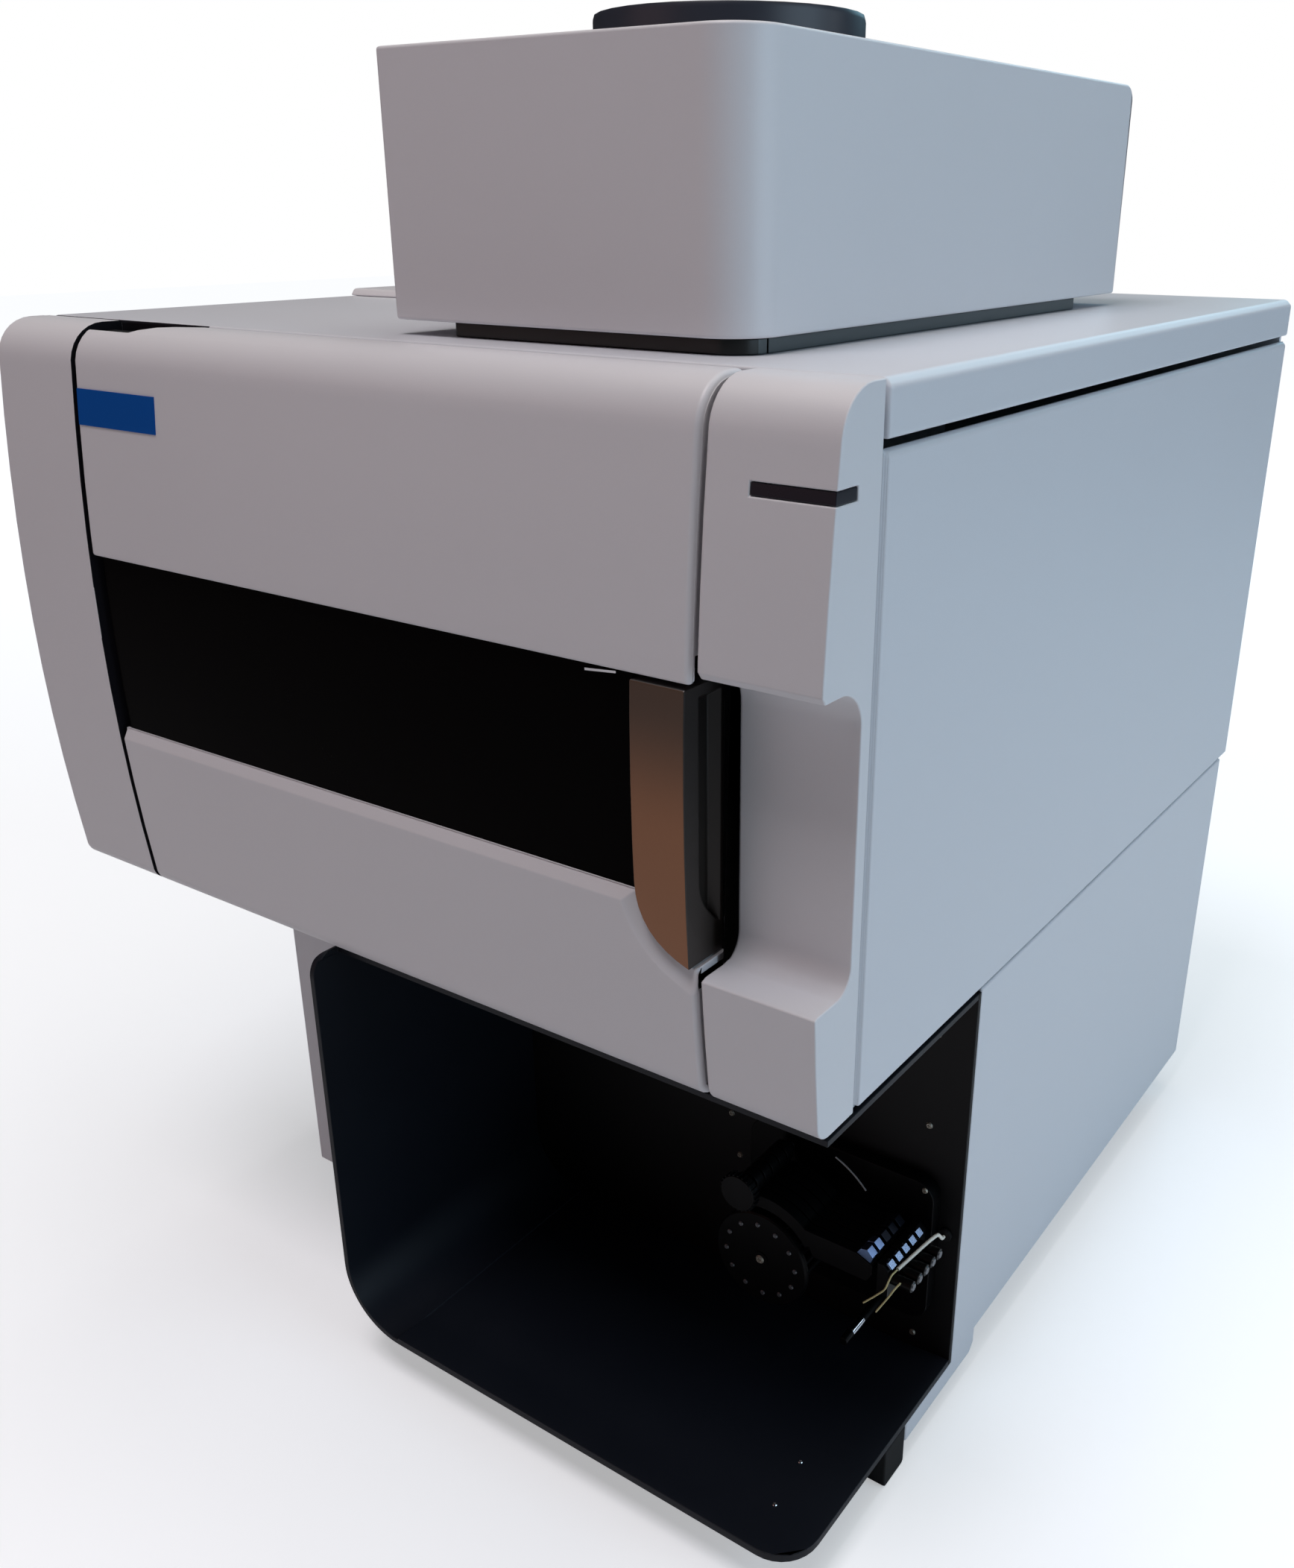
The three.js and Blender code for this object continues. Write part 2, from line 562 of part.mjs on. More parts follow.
// Uprights that carry the deck
const uprightSide = 26;
const uprightWall = 3;
const upright = (x, y) => {
  const angle = outlineOf([[x, y], [x + uprightSide, y], [x + uprightSide, y + uprightWall],
    [x + uprightWall, y + uprightWall], [x + uprightWall, y + uprightSide], [x, y + uprightSide]]);
  return alongZ(angle, panTop + seat, moduleBottom - seat);
};
place('frame_upright_left', upright(lowerInsideLeft + seat, panFront + seat), zincSteel);
place('frame_upright_right',
  upright(lowerInsideRight - uprightSide - seat, bayWallRear + 2 * seat), zincSteel);

// Feet
const footWidth = 45;
const footDepth = 27;
const footSetback = 63;
const footBevel = 4;
const footInset = 18;
const rearFootY = panRear - 3 * footDepth;
const foot = (x, y, top) => alongX(outlineOf([
  [y, footBevel / 2], [y + footBevel / 2, 0], [y + footDepth - footBevel / 2, 0],
  [y + footDepth, footBevel / 2], [y + footDepth, top - seat], [y, top - seat]]), x, x + footWidth);
place('foot_front_right', foot(right - footWidth, groove + footSetback, bayUnder), rubberBlack);
place('foot_front_left', foot(lowerInsideLeft + footInset, panFront, hem), rubberBlack);
place('foot_rear_right', foot(lowerInsideRight - footWidth - footInset, rearFootY, hem), rubberBlack);
place('foot_rear_left', foot(lowerInsideLeft + footInset, rearFootY, hem), rubberBlack);

// Services on the lower rear panel
const serviceFace = lowerRear - rearTaper;
const inletWidth = 50;
const inletHeight = 60;
const inletDepth = 14;
const inletMargin = 110;
const inletRise = 70;
const inletX = lowerInsideRight - inletMargin;
const inletZ = hem + inletRise;
const inletWall = 4;
const inletPocket = 10;
place('mains_inlet', cut(
  block(inletX - inletWidth / 2, inletX + inletWidth / 2, serviceFace, serviceFace + inletDepth,
    inletZ - inletHeight / 2, inletZ + inletHeight / 2),
  block(inletX - inletWidth / 2 + inletWall, inletX + inletWidth / 2 - inletWall,
    serviceFace + inletDepth - inletPocket, serviceFace + inletDepth + overrun,
    inletZ - inletHeight / 2 + inletWall, inletZ + inletWall)), rubberBlack);
const fittingCount = 4;
const fittingPitch = 34;
const fittingMargin = 180;
const fittingRise = 120;
const fittingX = lowerInsideLeft + fittingMargin;
const fittingZ = hem + fittingRise;
const fittingBlockHeight = 34;
const fittingBlockDepth = 12;
const fittingRadius = 8;
const fittingTipRadius = 5;
const fittingReach = 30;
const fittings = Array.from({ length: fittingCount }, (unused, row) => {
  const x = fittingX + row * fittingPitch;
  return join(
    barY(serviceFace + fittingBlockDepth / 2, serviceFace + fittingReach / 2 + fittingTipRadius,
      x, fittingZ, fittingRadius, smallSteps),
    barY(serviceFace + fittingBlockDepth, serviceFace + fittingReach + fittingTipRadius,
      x, fittingZ, fittingTipRadius, smallSteps));
});
place('gas_and_water_ports', join(
  block(fittingX - fittingPitch / 2, fittingX + (fittingCount - 0.5) * fittingPitch, serviceFace,
    serviceFace + fittingBlockDepth, fittingZ - fittingBlockHeight / 2, fittingZ + fittingBlockHeight / 2),
  ...fittings), brass);

// Door: two moulded covers and a dark window on a pressed frame
const doorLeft = leftColumnEdge + seam;
const doorRight = rightColumnEdge - seam;
const doorTopGap = 4;
const doorFootGap = 7;
const windowDrop = 140;
const windowHeight = 117.5;
const doorRearTop = groove - doorTopGap;
const doorRearFoot = groove - doorFootGap;
const windowTop = coverTop - windowDrop;
const windowFoot = windowTop - windowHeight;
const windowChamfer = 8;
const windowSheet = 4;
const windowLap = 11;
const notchFront = 22;
const notchFlat = 40;
const notchSlope = 46;
const doorSkin = frontSkin(mouldWall, doorRearTop, doorRearFoot, doorLeft, doorRight);
const below = (z) => block(left - overrun, right + overrun, front - overrun, back, -overrun, z);
const above = (z) => block(left - overrun, right + overrun, front - overrun, back, z, coverTop + overrun);
const doorNotch = alongZ(outlineOf([
  [doorLeft - overrun, doorRearTop - notchFront], [doorLeft + notchFlat, doorRearTop - notchFront],
  [doorLeft + notchFlat + notchSlope, doorRearTop + seat],
  [doorLeft + notchFlat + notchSlope, doorRearTop + overrun],
  [doorLeft - overrun, doorRearTop + overrun]]), coverTop - crownRadius, coverTop + overrun);
place('door_upper_cover', cut(doorSkin, below(windowTop), doorNotch), coverWhite);

// Handle outline and the cut-out for it in the lower cover
const handleWidth = 33;
const handleInset = 3;
const handleDrop = 3;
const handleHeight = 151;
const handleCurve = 43;
const handleDepth = 35;
const handleTop = windowTop - handleDrop;
const handleRear = front + handleDepth;
const cutoutMargin = 11;
const cutoutTip = 15;
const cutoutGap = 1;
const handleRight = doorRight - handleInset;
const handleLeft = handleRight - handleWidth;
const handleFoot = handleTop - handleHeight;
const handleShape = (margin, tip, rise) => {
  const shape = new THREE.Shape();
  shape.moveTo(handleLeft - margin, handleTop + rise);
  shape.lineTo(handleLeft - margin, handleFoot + handleCurve);
  shape.quadraticCurveTo(handleLeft - margin, handleFoot + handleCurve / 4 - tip / 2,
    handleRight, handleFoot - tip);
  shape.lineTo(handleRight + cutoutMargin * 2, handleFoot - tip + cutoutMargin);
  shape.lineTo(handleRight + cutoutMargin * 2, handleTop + rise);
  return shape;
};
// The rim of the cut-out slopes from the cover's face in to the handle
const cutoutRing = (margin, tip, depth) => handleShape(margin, tip, overrun).getPoints(arcSteps)
  .map(({ x, y }) => [x, depth(y), y]);
const handleCutout = loft([
  cutoutRing(cutoutGap, cutoutGap, () => back),
  cutoutRing(cutoutGap, cutoutGap, (z) => bowFront(z) + mouldWall),
  cutoutRing(cutoutMargin, cutoutTip, (z) => bowFront(z)),
  cutoutRing(cutoutMargin, cutoutTip, () => front - overrun)]);
const windowChamferShape = outlineOf([
  [front - overrun, windowFoot + overrun], [front - overrun, windowFoot - windowChamfer],
  [bowFront(windowFoot), windowFoot - windowChamfer], [bowFront(windowFoot) + mouldWall, windowFoot],
  [bowFront(windowFoot) + mouldWall + overrun, windowFoot], [bowFront(windowFoot) + mouldWall + overrun,
    windowFoot + overrun]]);
// A ledge in one piece with the cover closes the room under the handle
const ledgeMargin = cutoutGap + mouldWall;
const handleLedge = alongY(handleShape(ledgeMargin, ledgeMargin, 0), front - overrun, handleRear)
  .intersect(block(handleLeft, doorRight, front - overrun, back, 0, windowFoot))
  .intersect(frontSlab(0, columnRear, left, right));
place('door_lower_cover', cut(join(doorSkin, handleLedge), above(windowFoot),
  alongX(windowChamferShape, left, right), handleCutout), coverWhite);

// Window pane behind the covers
const paneFront = mouldWall + seat;
const paneGap = 1.5;
const paneRight = handleLeft - paneGap;
const paneLeft = doorLeft + edgeBevel;
const paneTop = windowTop + windowLap;
const paneFoot = windowFoot - windowLap;
const paneSlab = cut(frontSlab(paneFront, columnRear, paneLeft, paneRight),
  frontSlab(paneFront + windowSheet, columnRear + overrun, left, right));
place('door_window', cut(paneSlab, above(paneTop), below(paneFoot)), windowBlack);

// The hinge line stands just inside the left edge of the door
const hingeSetIn = 22.5;
const hingeSetback = 8.43;
const hingeX = doorLeft + hingeSetIn;
const hingeArmThickness = 4;
const hingeUpperDrop = 121;
const hingeLowerDrop = 296;
const hingeUpperZ = coverTop - hingeUpperDrop;
const hingeLowerZ = coverTop - hingeLowerDrop;
const hingeY = Math.max(bowFront(hingeUpperZ), bowFront(hingeLowerZ)) + hingeSetback;
const hingePinRadius = 2.8;
const hingeBore = 3.1;
const hingePinLength = 16;
const hingeArmLeft = 3.2;
const hingeArmRight = 9;
const hingeSweep = 10.5;
const hingeRelief = 2;
const hingeFootHalf = 11;
const bossHeight = 12;
const bossHalf = 7;
const bossDepth = 3.7;

// Pressed door frame: a pan whose walls follow the bow, open to the front
const frameWall = 3;
const frameInset = 3;
const frameRearGap = 10;
const frameRear = groove - frameRearGap;
const apertureMargin = 30;
const frameLeft = doorLeft + frameInset;
const frameRight = doorRight - frameInset;
const frameTop = coverTop - paneFront - seat;
const frameSkin = frontSlab(paneFront, frameRear, frameLeft, frameRight);
const framePocket = block(frameLeft + frameWall, frameRight - frameWall,
  front - overrun, frameRear - frameWall,
  moduleBottom + paneFront + frameWall, frameTop - frameWall);
const windowSeat = cut(frontSlab(-overrun / 2, columnRear + overrun, left, right),
  frontSlab(paneFront + windowSheet + seat, columnRear + overrun, left - overrun, right + overrun),
  above(paneTop + seat), below(paneFoot - seat));
const aperture = block(paneLeft + apertureMargin, paneRight - apertureMargin,
  front, back, paneFoot, paneTop);
const handlePocket = block(handleLeft - seat, right, front - overrun, handleRear + seat,
  handleFoot - cutoutTip, handleTop + cutoutTip);
const handlePad = block(handleLeft, handleRight - handleInset, handleRear + seat, frameRear,
  handleFoot, handleTop);
const hingeSlot = (z) => block(left, hingeX + hingeSweep, hingeY - bossDepth, columnRear + overrun,
  z - hingeRelief, z + hingeArmThickness + hingeRelief);
const hingeBoss = (z) => {
  const low = z + hingeArmThickness + hingeRelief;
  return cut(
    block(frameLeft, hingeX + bossHalf, hingeY - bossDepth, hingeY + bossHalf, low, low + bossHeight),
    barZ(low - overrun, low + bossHeight + overrun, hingeX, hingeY, hingeBore, smallSteps));
};
const doorFrameBody = join(
  cut(join(cut(frameSkin, framePocket), handlePad), windowSeat, aperture, handlePocket,
    hingeSlot(hingeUpperZ), hingeSlot(hingeLowerZ)),
  hingeBoss(hingeUpperZ), hingeBoss(hingeLowerZ));
place('door_frame', doorFrameBody, deepBlack);

// Handle with a finger recess in its right side, rounded at its lower end
const recessDepth = 6;
const recessSlope = 4;
const recessFront = 13;
const recessRim = 2.5;
const recessTopRim = 6;
const recessFootRise = 16;
const recessCurve = 30;
const recessRing = (x, shrink) => {
  const shape = new THREE.Shape();
  const foremost = front + recessFront + shrink;
  const rearmost = handleRear - recessRim - shrink;
  const lowest = handleFoot + recessFootRise + shrink;
  shape.moveTo(rearmost, lowest);
  shape.lineTo(rearmost, handleTop - recessTopRim - shrink);
  shape.lineTo(foremost, handleTop - recessTopRim - shrink);
  shape.lineTo(foremost, lowest + recessCurve);
  shape.quadraticCurveTo(foremost, lowest + recessCurve / 2, rearmost, lowest);
  return shape.getPoints(arcSteps).slice(0, -1).map(({ x: y, y: z }) => [x, y, z]);
};
const fingerRecess = loft([
  recessRing(handleRight - recessDepth, recessSlope), recessRing(handleRight, 0),
  recessRing(handleRight + overrun, 0)], ([, y, z]) => new THREE.Vector2(y, z));
const handleBody = alongY(handleShape(0, 0, 0), front - overrun, handleRear)
  .intersect(block(handleLeft, handleRight, front - overrun, back, 0, coverTop))
  .intersect(frontSlab(0, columnRear, left, right));
place('door_handle', cut(handleBody, fingerRecess), handleBronze);

// Hinge arms fixed to the front flange of the torch compartment
const armBack = groove + seat;
const hingeArm = (z) => join(
  alongZ(roundedRect(hingeX - hingeArmLeft, hingeX + hingeArmRight, hingeY - hingeArmLeft, armBack,
    [hingeArmLeft, hingeArmLeft, 0, 0]), z, z + hingeArmThickness),
  barZ(z + hingeArmThickness / 2, z + hingePinLength, hingeX, hingeY, hingePinRadius, smallSteps),
  block(leftColumnEdge + seam, hingeX + hingeArmRight, armBack - chassisSheet, armBack,
    z - hingeFootHalf, z + hingeFootHalf));
place('hinge_arm_upper', hingeArm(hingeUpperZ), bareSteel);
place('hinge_arm_lower', hingeArm(hingeLowerZ), bareSteel);

// Torch compartment: a box open to the front, with a flange behind the columns
const chamberDepth = 230;
const chamberWall = 3;
const flangeLap = 15;
const chamberFront = armBack + seat;
const chamberLeft = leftColumnEdge + flangeLap;
const chamberRight = rightColumnEdge - flangeLap;
const chamberFoot = deckTop;
const chamberTop = insideTop;
const chamberRear = chamberFront + chamberDepth;
const chamberOuter = block(chamberLeft, chamberRight, chamberFront, chamberRear, chamberFoot, chamberTop);
const chamberInner = block(chamberLeft + chamberWall, chamberRight - chamberWall, chamberFront - overrun,
  chamberRear - chamberWall, chamberFoot + chamberWall, chamberTop - chamberWall);
const flangeRing = cut(
  block(leftColumnEdge - flangeLap, rightColumnEdge + flangeLap,
    chamberFront, chamberFront + chamberWall, chamberFoot, chamberTop),
  block(chamberLeft + chamberWall, chamberRight - chamberWall,
    chamberFront - overrun, chamberFront + overrun,
    chamberFoot + chamberWall, chamberTop - chamberWall));
place('torch_compartment', join(cut(chamberOuter, chamberInner), flangeRing), zincSteel);

// Plasma torch, its loader, the load coil and the spray chamber
const torchX = (chamberLeft + chamberRight) / 2;
const torchSetback = 110;
const torchY = chamberFront + torchSetback;
const torchRadius = 10;
const torchInnerRadius = 8.5;
const torchDrop = 95;
const torchTop = chamberTop - torchDrop;
const torchBaseRadius = 14;
const torchBaseLength = 34;
const sprayHeight = 46;
const sprayNeckLength = 18;
const drainLength = 14;
const drainRise = 38.5;
const sprayFoot = chamberFoot + chamberWall + drainRise;
const sprayTop = sprayFoot + drainLength + sprayHeight + sprayNeckLength;
const torchFoot = sprayTop + seat;
const torchLength = torchTop - torchFoot;
place('plasma_torch', turned([
  [0, 0], [torchBaseRadius, 0], [torchBaseRadius, torchBaseLength], [torchRadius, torchBaseLength],
  [torchRadius, torchLength], [torchInnerRadius, torchLength], [torchInnerRadius, torchBaseLength],
  [0, torchBaseLength]]).translate([torchX, torchY, torchFoot]), quartz);
const coilTurns = 3;
const coilTubeRadius = 1.6;
const coilGap = 2.4;
const coilRadius = torchRadius + coilTubeRadius + coilGap;
const coilPitch = 6;
const coilDrop = 8;
const coilTop = torchTop - coilDrop;
const coilLead = chamberRear - chamberWall - seat - torchY;
class CoilPath extends THREE.Curve {
  getPoint(t, target = new THREE.Vector3()) {
    const angle = Math.PI / 2 + t * coilTurns * Math.PI * 2;
    return target.set(coilRadius * Math.cos(angle), coilRadius * Math.sin(angle),
      -t * coilTurns * coilPitch);
  }
}
const coilSection = new THREE.Shape();
coilSection.absarc(0, 0, coilTubeRadius, 0, Math.PI * 2);
const coilSteps = 24;
const coilBody = solid(new THREE.ExtrudeGeometry(coilSection, {
  steps: coilTurns * coilSteps, curveSegments: 3, bevelEnabled: false, extrudePath: new CoilPath() }));
const coilSides = 6;
const coilLeadBar = (z) => barY(coilRadius - coilTubeRadius, coilLead, 0, z, coilTubeRadius, coilSides);
place('load_coil', join(coilBody, coilLeadBar(0), coilLeadBar(-coilTurns * coilPitch))
  .translate([torchX, torchY, coilTop]), copper);

// The least gap between one turn of the coil and the next, measured on points along its path
const coilPoints = new CoilPath().getSpacedPoints(coilTurns * coilSteps);
let coilClearance = Infinity;
coilPoints.forEach((point, index) => {
  for (let later = index + coilSteps / 2; later < coilPoints.length; later += 1) {
    coilClearance = Math.min(coilClearance, point.distanceTo(coilPoints[later]) - 2 * coilTubeRadius);
  }
});
console.log(`load coil: least gap between turns ${coilClearance.toFixed(2)}`);
const coneTopRadius = 40;
const coneTipRadius = 9;
const coneHeight = 58;
const coneBore = 4;
const coneBase = 10;
place('cone_interface', turned([
  [coneBore, 0], [coneTipRadius, 0], [coneTopRadius, coneHeight - coneBase], [coneTopRadius, coneHeight],
  [coneBore, coneHeight], [coneBore, 0]]).translate([torchX, torchY,
  chamberTop - chamberWall - seat - coneHeight]), bareSteel);

// The loader is a bracket with a collar round the torch foot, and the lever that clamps it
const loaderWidth = 70;
const loaderHeight = 30;
const loaderReach = 26;
const loaderRise = 2;
const loaderFront = torchY - loaderReach;
const loaderZ = torchFoot + loaderRise;
const loaderBore = torchBaseRadius + seat;
const leverGap = 6;
const leverX = torchX + loaderWidth / 2 + leverGap;
const leverPinRadius = 4;
const leverSetback = 14;
const leverY = loaderFront + leverSetback;
const leverZ = loaderZ + loaderHeight / 2;
const pinReach = 14;
place('torch_loader', join(
  cut(block(torchX - loaderWidth / 2, torchX + loaderWidth / 2,
    loaderFront, chamberRear - chamberWall - seat, loaderZ, loaderZ + loaderHeight),
  barZ(loaderZ - overrun, loaderZ + loaderHeight + overrun, torchX, torchY, loaderBore)),
  barX(torchX + loaderWidth / 2 - pinReach / 2, torchX + loaderWidth / 2 + pinReach, leverY, leverZ,
    leverPinRadius, smallSteps)), ceramic);
const leverThickness = 7;
const leverLength = 90;
const leverHub = 9;
const leverWidth = 11;
const leverShape = new THREE.Shape();
leverShape.moveTo(leverY - leverHub, leverZ);
leverShape.absarc(leverY, leverZ, leverHub, Math.PI, 0, true);
leverShape.lineTo(leverY + leverWidth / 2, leverZ - leverLength + leverWidth / 2);
leverShape.absarc(leverY, leverZ - leverLength + leverWidth / 2, leverWidth / 2, 0, -Math.PI, true);
const leverKnobRadius = 6.5;
const leverKnobReach = 21;
const leverKnob = barX(leverX - leverThickness / 2, leverX + leverKnobReach, leverY,
  leverZ - leverLength + leverWidth, leverKnobRadius, smallSteps);
place('torch_lever', cut(join(
  alongX(leverShape, leverX - leverThickness / 2, leverX + leverThickness / 2), leverKnob),
barX(leverX - overrun, leverX + overrun, leverY, leverZ, leverPinRadius + seat, smallSteps)), handleBronze);

// Cyclonic spray chamber under the torch, with the nebulizer in its side arm
const sprayRadius = 24;
const sprayNeck = 6;
const sprayWaistShare = 0.3;
const sprayShoulderShare = 0.7;
const sprayWaist = sprayHeight * sprayWaistShare;
const sprayShoulder = sprayRadius * sprayShoulderShare;
place('spray_chamber', turned([
  [0, 0], [sprayNeck, 0], [sprayNeck, drainLength], [sprayShoulder, drainLength + sprayWaist / 2],
  [sprayRadius, drainLength + sprayWaist], [sprayRadius, drainLength + sprayHeight - sprayWaist],
  [sprayShoulder, drainLength + sprayHeight - sprayWaist / 2], [sprayNeck, drainLength + sprayHeight],
  [sprayNeck, sprayTop - sprayFoot], [0, sprayTop - sprayFoot],
]).translate([torchX, torchY, sprayFoot]), quartz);
const nebulizerRadius = 4;
const nebulizerLength = 62;
const nebulizerNut = 18;
const nebulizerNutRadius = 7;
const nebulizerZ = sprayFoot + drainLength + sprayHeight / 2;
place('nebulizer', join(
  barX(torchX + sprayRadius + seat, torchX + sprayRadius + nebulizerLength, torchY, nebulizerZ,
    nebulizerRadius, smallSteps),
  barX(torchX + sprayRadius + nebulizerLength / 2, torchX + sprayRadius + nebulizerLength / 2 + nebulizerNut,
    torchY, nebulizerZ, nebulizerNutRadius, smallSteps)), quartz);

// Closed modules behind the torch compartment and in the lower cabinet, solid because nothing opens them
const generatorLap = 3.7;
const generatorShortfall = 80;
const moduleGap = 6;
const moduleHeadroom = 30;
const moduleTop = insideTop - moduleHeadroom;
const opticsFront = chamberRear + seat;
const moduleRear = rearInside - moduleGap;
const generatorLeft = torchX - generatorLap;
const opticsRight = generatorLeft - moduleGap;
const lidInset = 8;
const lidHeight = 14;
const lidded = (x0, x1, y0, y1, z0, z1) => join(block(x0, x1, y0, y1, z0, z1 - lidHeight),
  block(x0 + lidInset, x1 - lidInset, y0 + lidInset, y1 - lidInset, z1 - 2 * lidHeight, z1));
place('optics_enclosure', lidded(insideLeft + moduleGap, opticsRight, opticsFront, moduleRear,
  deckTop, moduleTop), bareSteel);
place('rf_generator', lidded(generatorLeft, insideRight - moduleGap, opticsFront,
  moduleRear - generatorShortfall, deckTop, moduleTop), zincSteel);
const supplySetback = 100;
const supplyFront = bayWallRear + supplySetback;
const supplyHeadroom = 62;
const supplyTop = moduleBottom - supplyHeadroom;
const supplyRear = panRear - moduleGap;
place('power_supply', lidded(lowerInsideLeft + ribInset + ribWidth + moduleGap,
  lowerInsideRight - ribInset - moduleGap, supplyFront, supplyRear, panTop + seat, supplyTop),
zincSteel);

// Peristaltic pump on the back wall: body, pivot rod and latch rod, then the turning head
const pumpInset = 113;
const pumpDrop = 589;
const pumpX = right - pumpInset;
const pumpZ = coverTop - pumpDrop;
const channelCount = 5;
const channelPitch = 9.3;
const discRadius = 36;
const discThickness = 4;
const pumpBodyDepth = 11;
const pumpShaftRadius = 6;
const rollerCount = 12;
const rollerRadius = 3;
const rollerCircle = 30;
const drumRadius = 20;
const pivotDX = -13;
const pivotDZ = 54;
const pivotRadius = 4;
const pivotKnobRadius = 13;
const pivotKnobLength = 7;
const latchDX = 66;
const latchDZ = -36;
const latchRadius = 3;
const pumpBodyFront = bayWallFront - seat - pumpBodyDepth;
const headGap = 2;
const spindleSink = 1;
const headRear = pumpBodyFront - headGap;
const headFront = headRear - 2 * discThickness - channelCount * channelPitch;
const plateLeft = 45;
const plateRight = 98;
const plateFoot = 46;
const plateTop = 66;
const plateRadius = 14;
const shaftPocket = 8;
const pumpPlate = alongY(roundedRect(pumpX - plateLeft, pumpX + plateRight,
  pumpZ - plateFoot, pumpZ + plateTop,
  [plateRadius, plateRadius, plateRadius, plateRadius]), pumpBodyFront, bayWallFront - seat);
const pivotX = pumpX + pivotDX;
const pivotZ = pumpZ + pivotDZ;
const pivotFront = headFront - headGap;
place('pump_body', join(
  cut(pumpPlate, barY(pumpBodyFront - overrun, pumpBodyFront + shaftPocket, pumpX, pumpZ,
    pumpShaftRadius + seat, smallSteps)),
  barY(pivotFront, pumpBodyFront + spindleSink, pivotX, pivotZ, pivotRadius, smallSteps),
  barY(pivotFront - pivotKnobLength, pivotFront, pivotX, pivotZ, pivotKnobRadius, smallSteps * 2),
  barY(headFront, pumpBodyFront + spindleSink, pumpX + latchDX, pumpZ + latchDZ, latchRadius, smallSteps)),
deepBlack);
const discPlate = (y) => barY(y, y + discThickness, pumpX, pumpZ, discRadius);
const rollerReach = 1;
const rollerSides = 8;
const rollers = Array.from({ length: rollerCount }, (unused, spoke) => {
  const angle = (spoke / rollerCount) * Math.PI * 2;
  return barY(headFront - rollerReach, headRear - discThickness / 2, pumpX + rollerCircle * Math.cos(angle),
    pumpZ + rollerCircle * Math.sin(angle), rollerRadius, rollerSides);
});
place('pump_head', join(discPlate(headFront), discPlate(headRear - discThickness),
  barY(headFront + discThickness / 2, headRear - discThickness / 2, pumpX, pumpZ,
    drumRadius, smallSteps * 2),
  barY(headRear - discThickness, pumpBodyFront + shaftPocket - seat, pumpX, pumpZ,
    pumpShaftRadius, smallSteps),
  ...rollers), deepBlack);
const motorRadius = 30;
const motorLength = 62;
place('pump_motor', barY(bayWallRear + seat, bayWallRear + seat + motorLength, pumpX, pumpZ,
  motorRadius, smallSteps * 2), zincSteel);

// Five pressure clamps swing over the head on the pivot rod
const clampWidth = 8;
const clampInner = 38.5;
const clampOuter = 48;
const clampHub = 8;
const clampRunning = 0.35;
const clampFrom = 0.6;
const clampTo = 1.85;
const armLeft = 28;
const armRight = 82;
const armFoot = 17;
const armTop = 36;
const armNoseLength = 12;
const armNoseHeight = 5;
const armHeel = 4;
const channelY = (channel) => headFront + discThickness + channelPitch * (channel + 0.5);
const armRightX = pumpX + armRight;
const clampArm = outlineOf([
  [pumpX + armLeft, pumpZ + armTop], [pumpX + clampInner, pumpZ + armFoot],
  [armRightX - armHeel, pumpZ + armFoot], [armRightX, pumpZ + armTop - armNoseLength],
  [armRightX, pumpZ + armTop - armNoseHeight], [armRightX - armNoseLength, pumpZ + armTop]]);
const clampBand = new THREE.Shape();
clampBand.absarc(pumpX, pumpZ, clampOuter, clampFrom, clampTo);
clampBand.absarc(pumpX, pumpZ, clampInner, clampTo, clampFrom, true);
const clamp = (y) => {
  const y0 = y - clampWidth / 2;
  const y1 = y + clampWidth / 2;
  return cut(
    join(alongY(clampBand, y0, y1), alongY(clampArm, y0, y1),
      barY(y0, y1, pivotX, pivotZ, clampHub, smallSteps)),
    barY(y0 - overrun, y1 + overrun, pivotX, pivotZ, pivotRadius + clampRunning, smallSteps));
};
for (let channel = 0; channel < channelCount; channel += 1) {
  place(`pump_clamp_${channel + 1}`, clamp(channelY(channel)), deepBlack);
}

// The fixed rail beyond the clamps carries one adjusting screw for each channel
const railLeft = 86;
const railWidth = 8;
const railFoot = 12;
const railTop = 36;
const railBevel = 4;
const railNotch = 1.2;
const railNotchDepth = 9;
const screwRadius = 4;
const screwLength = 15.5;
const screwRise = 25;
const screwSink = 1;
const screwSides = 12;
const railX = pumpX + railLeft;
const railRightX = railX + railWidth;
const screwZ = pumpZ + screwRise;
const railFront = channelY(0) - channelPitch / 2;
const railBar = alongY(outlineOf([
  [railX, pumpZ + railFoot], [railRightX, pumpZ + railFoot], [railRightX, pumpZ + railTop - railBevel],
  [railRightX - railBevel, pumpZ + railTop], [railX, pumpZ + railTop]]), railFront, pumpBodyFront - seat);
const railNotches = Array.from({ length: channelCount - 1 }, (unused, gap) => {
  const middle = channelY(gap) + channelPitch / 2;
  return block(railX - overrun, railRightX + overrun, middle - railNotch / 2, middle + railNotch / 2,
    pumpZ + railTop - railNotchDepth, pumpZ + railTop + overrun);
});
const railScrews = Array.from({ length: channelCount }, (unused, channel) => barX(
  railRightX - screwSink, railRightX + screwLength, channelY(channel), screwZ, screwRadius, screwSides));
place('screw_rail', join(cut(railBar, ...railNotches), ...railScrews), deepBlack);

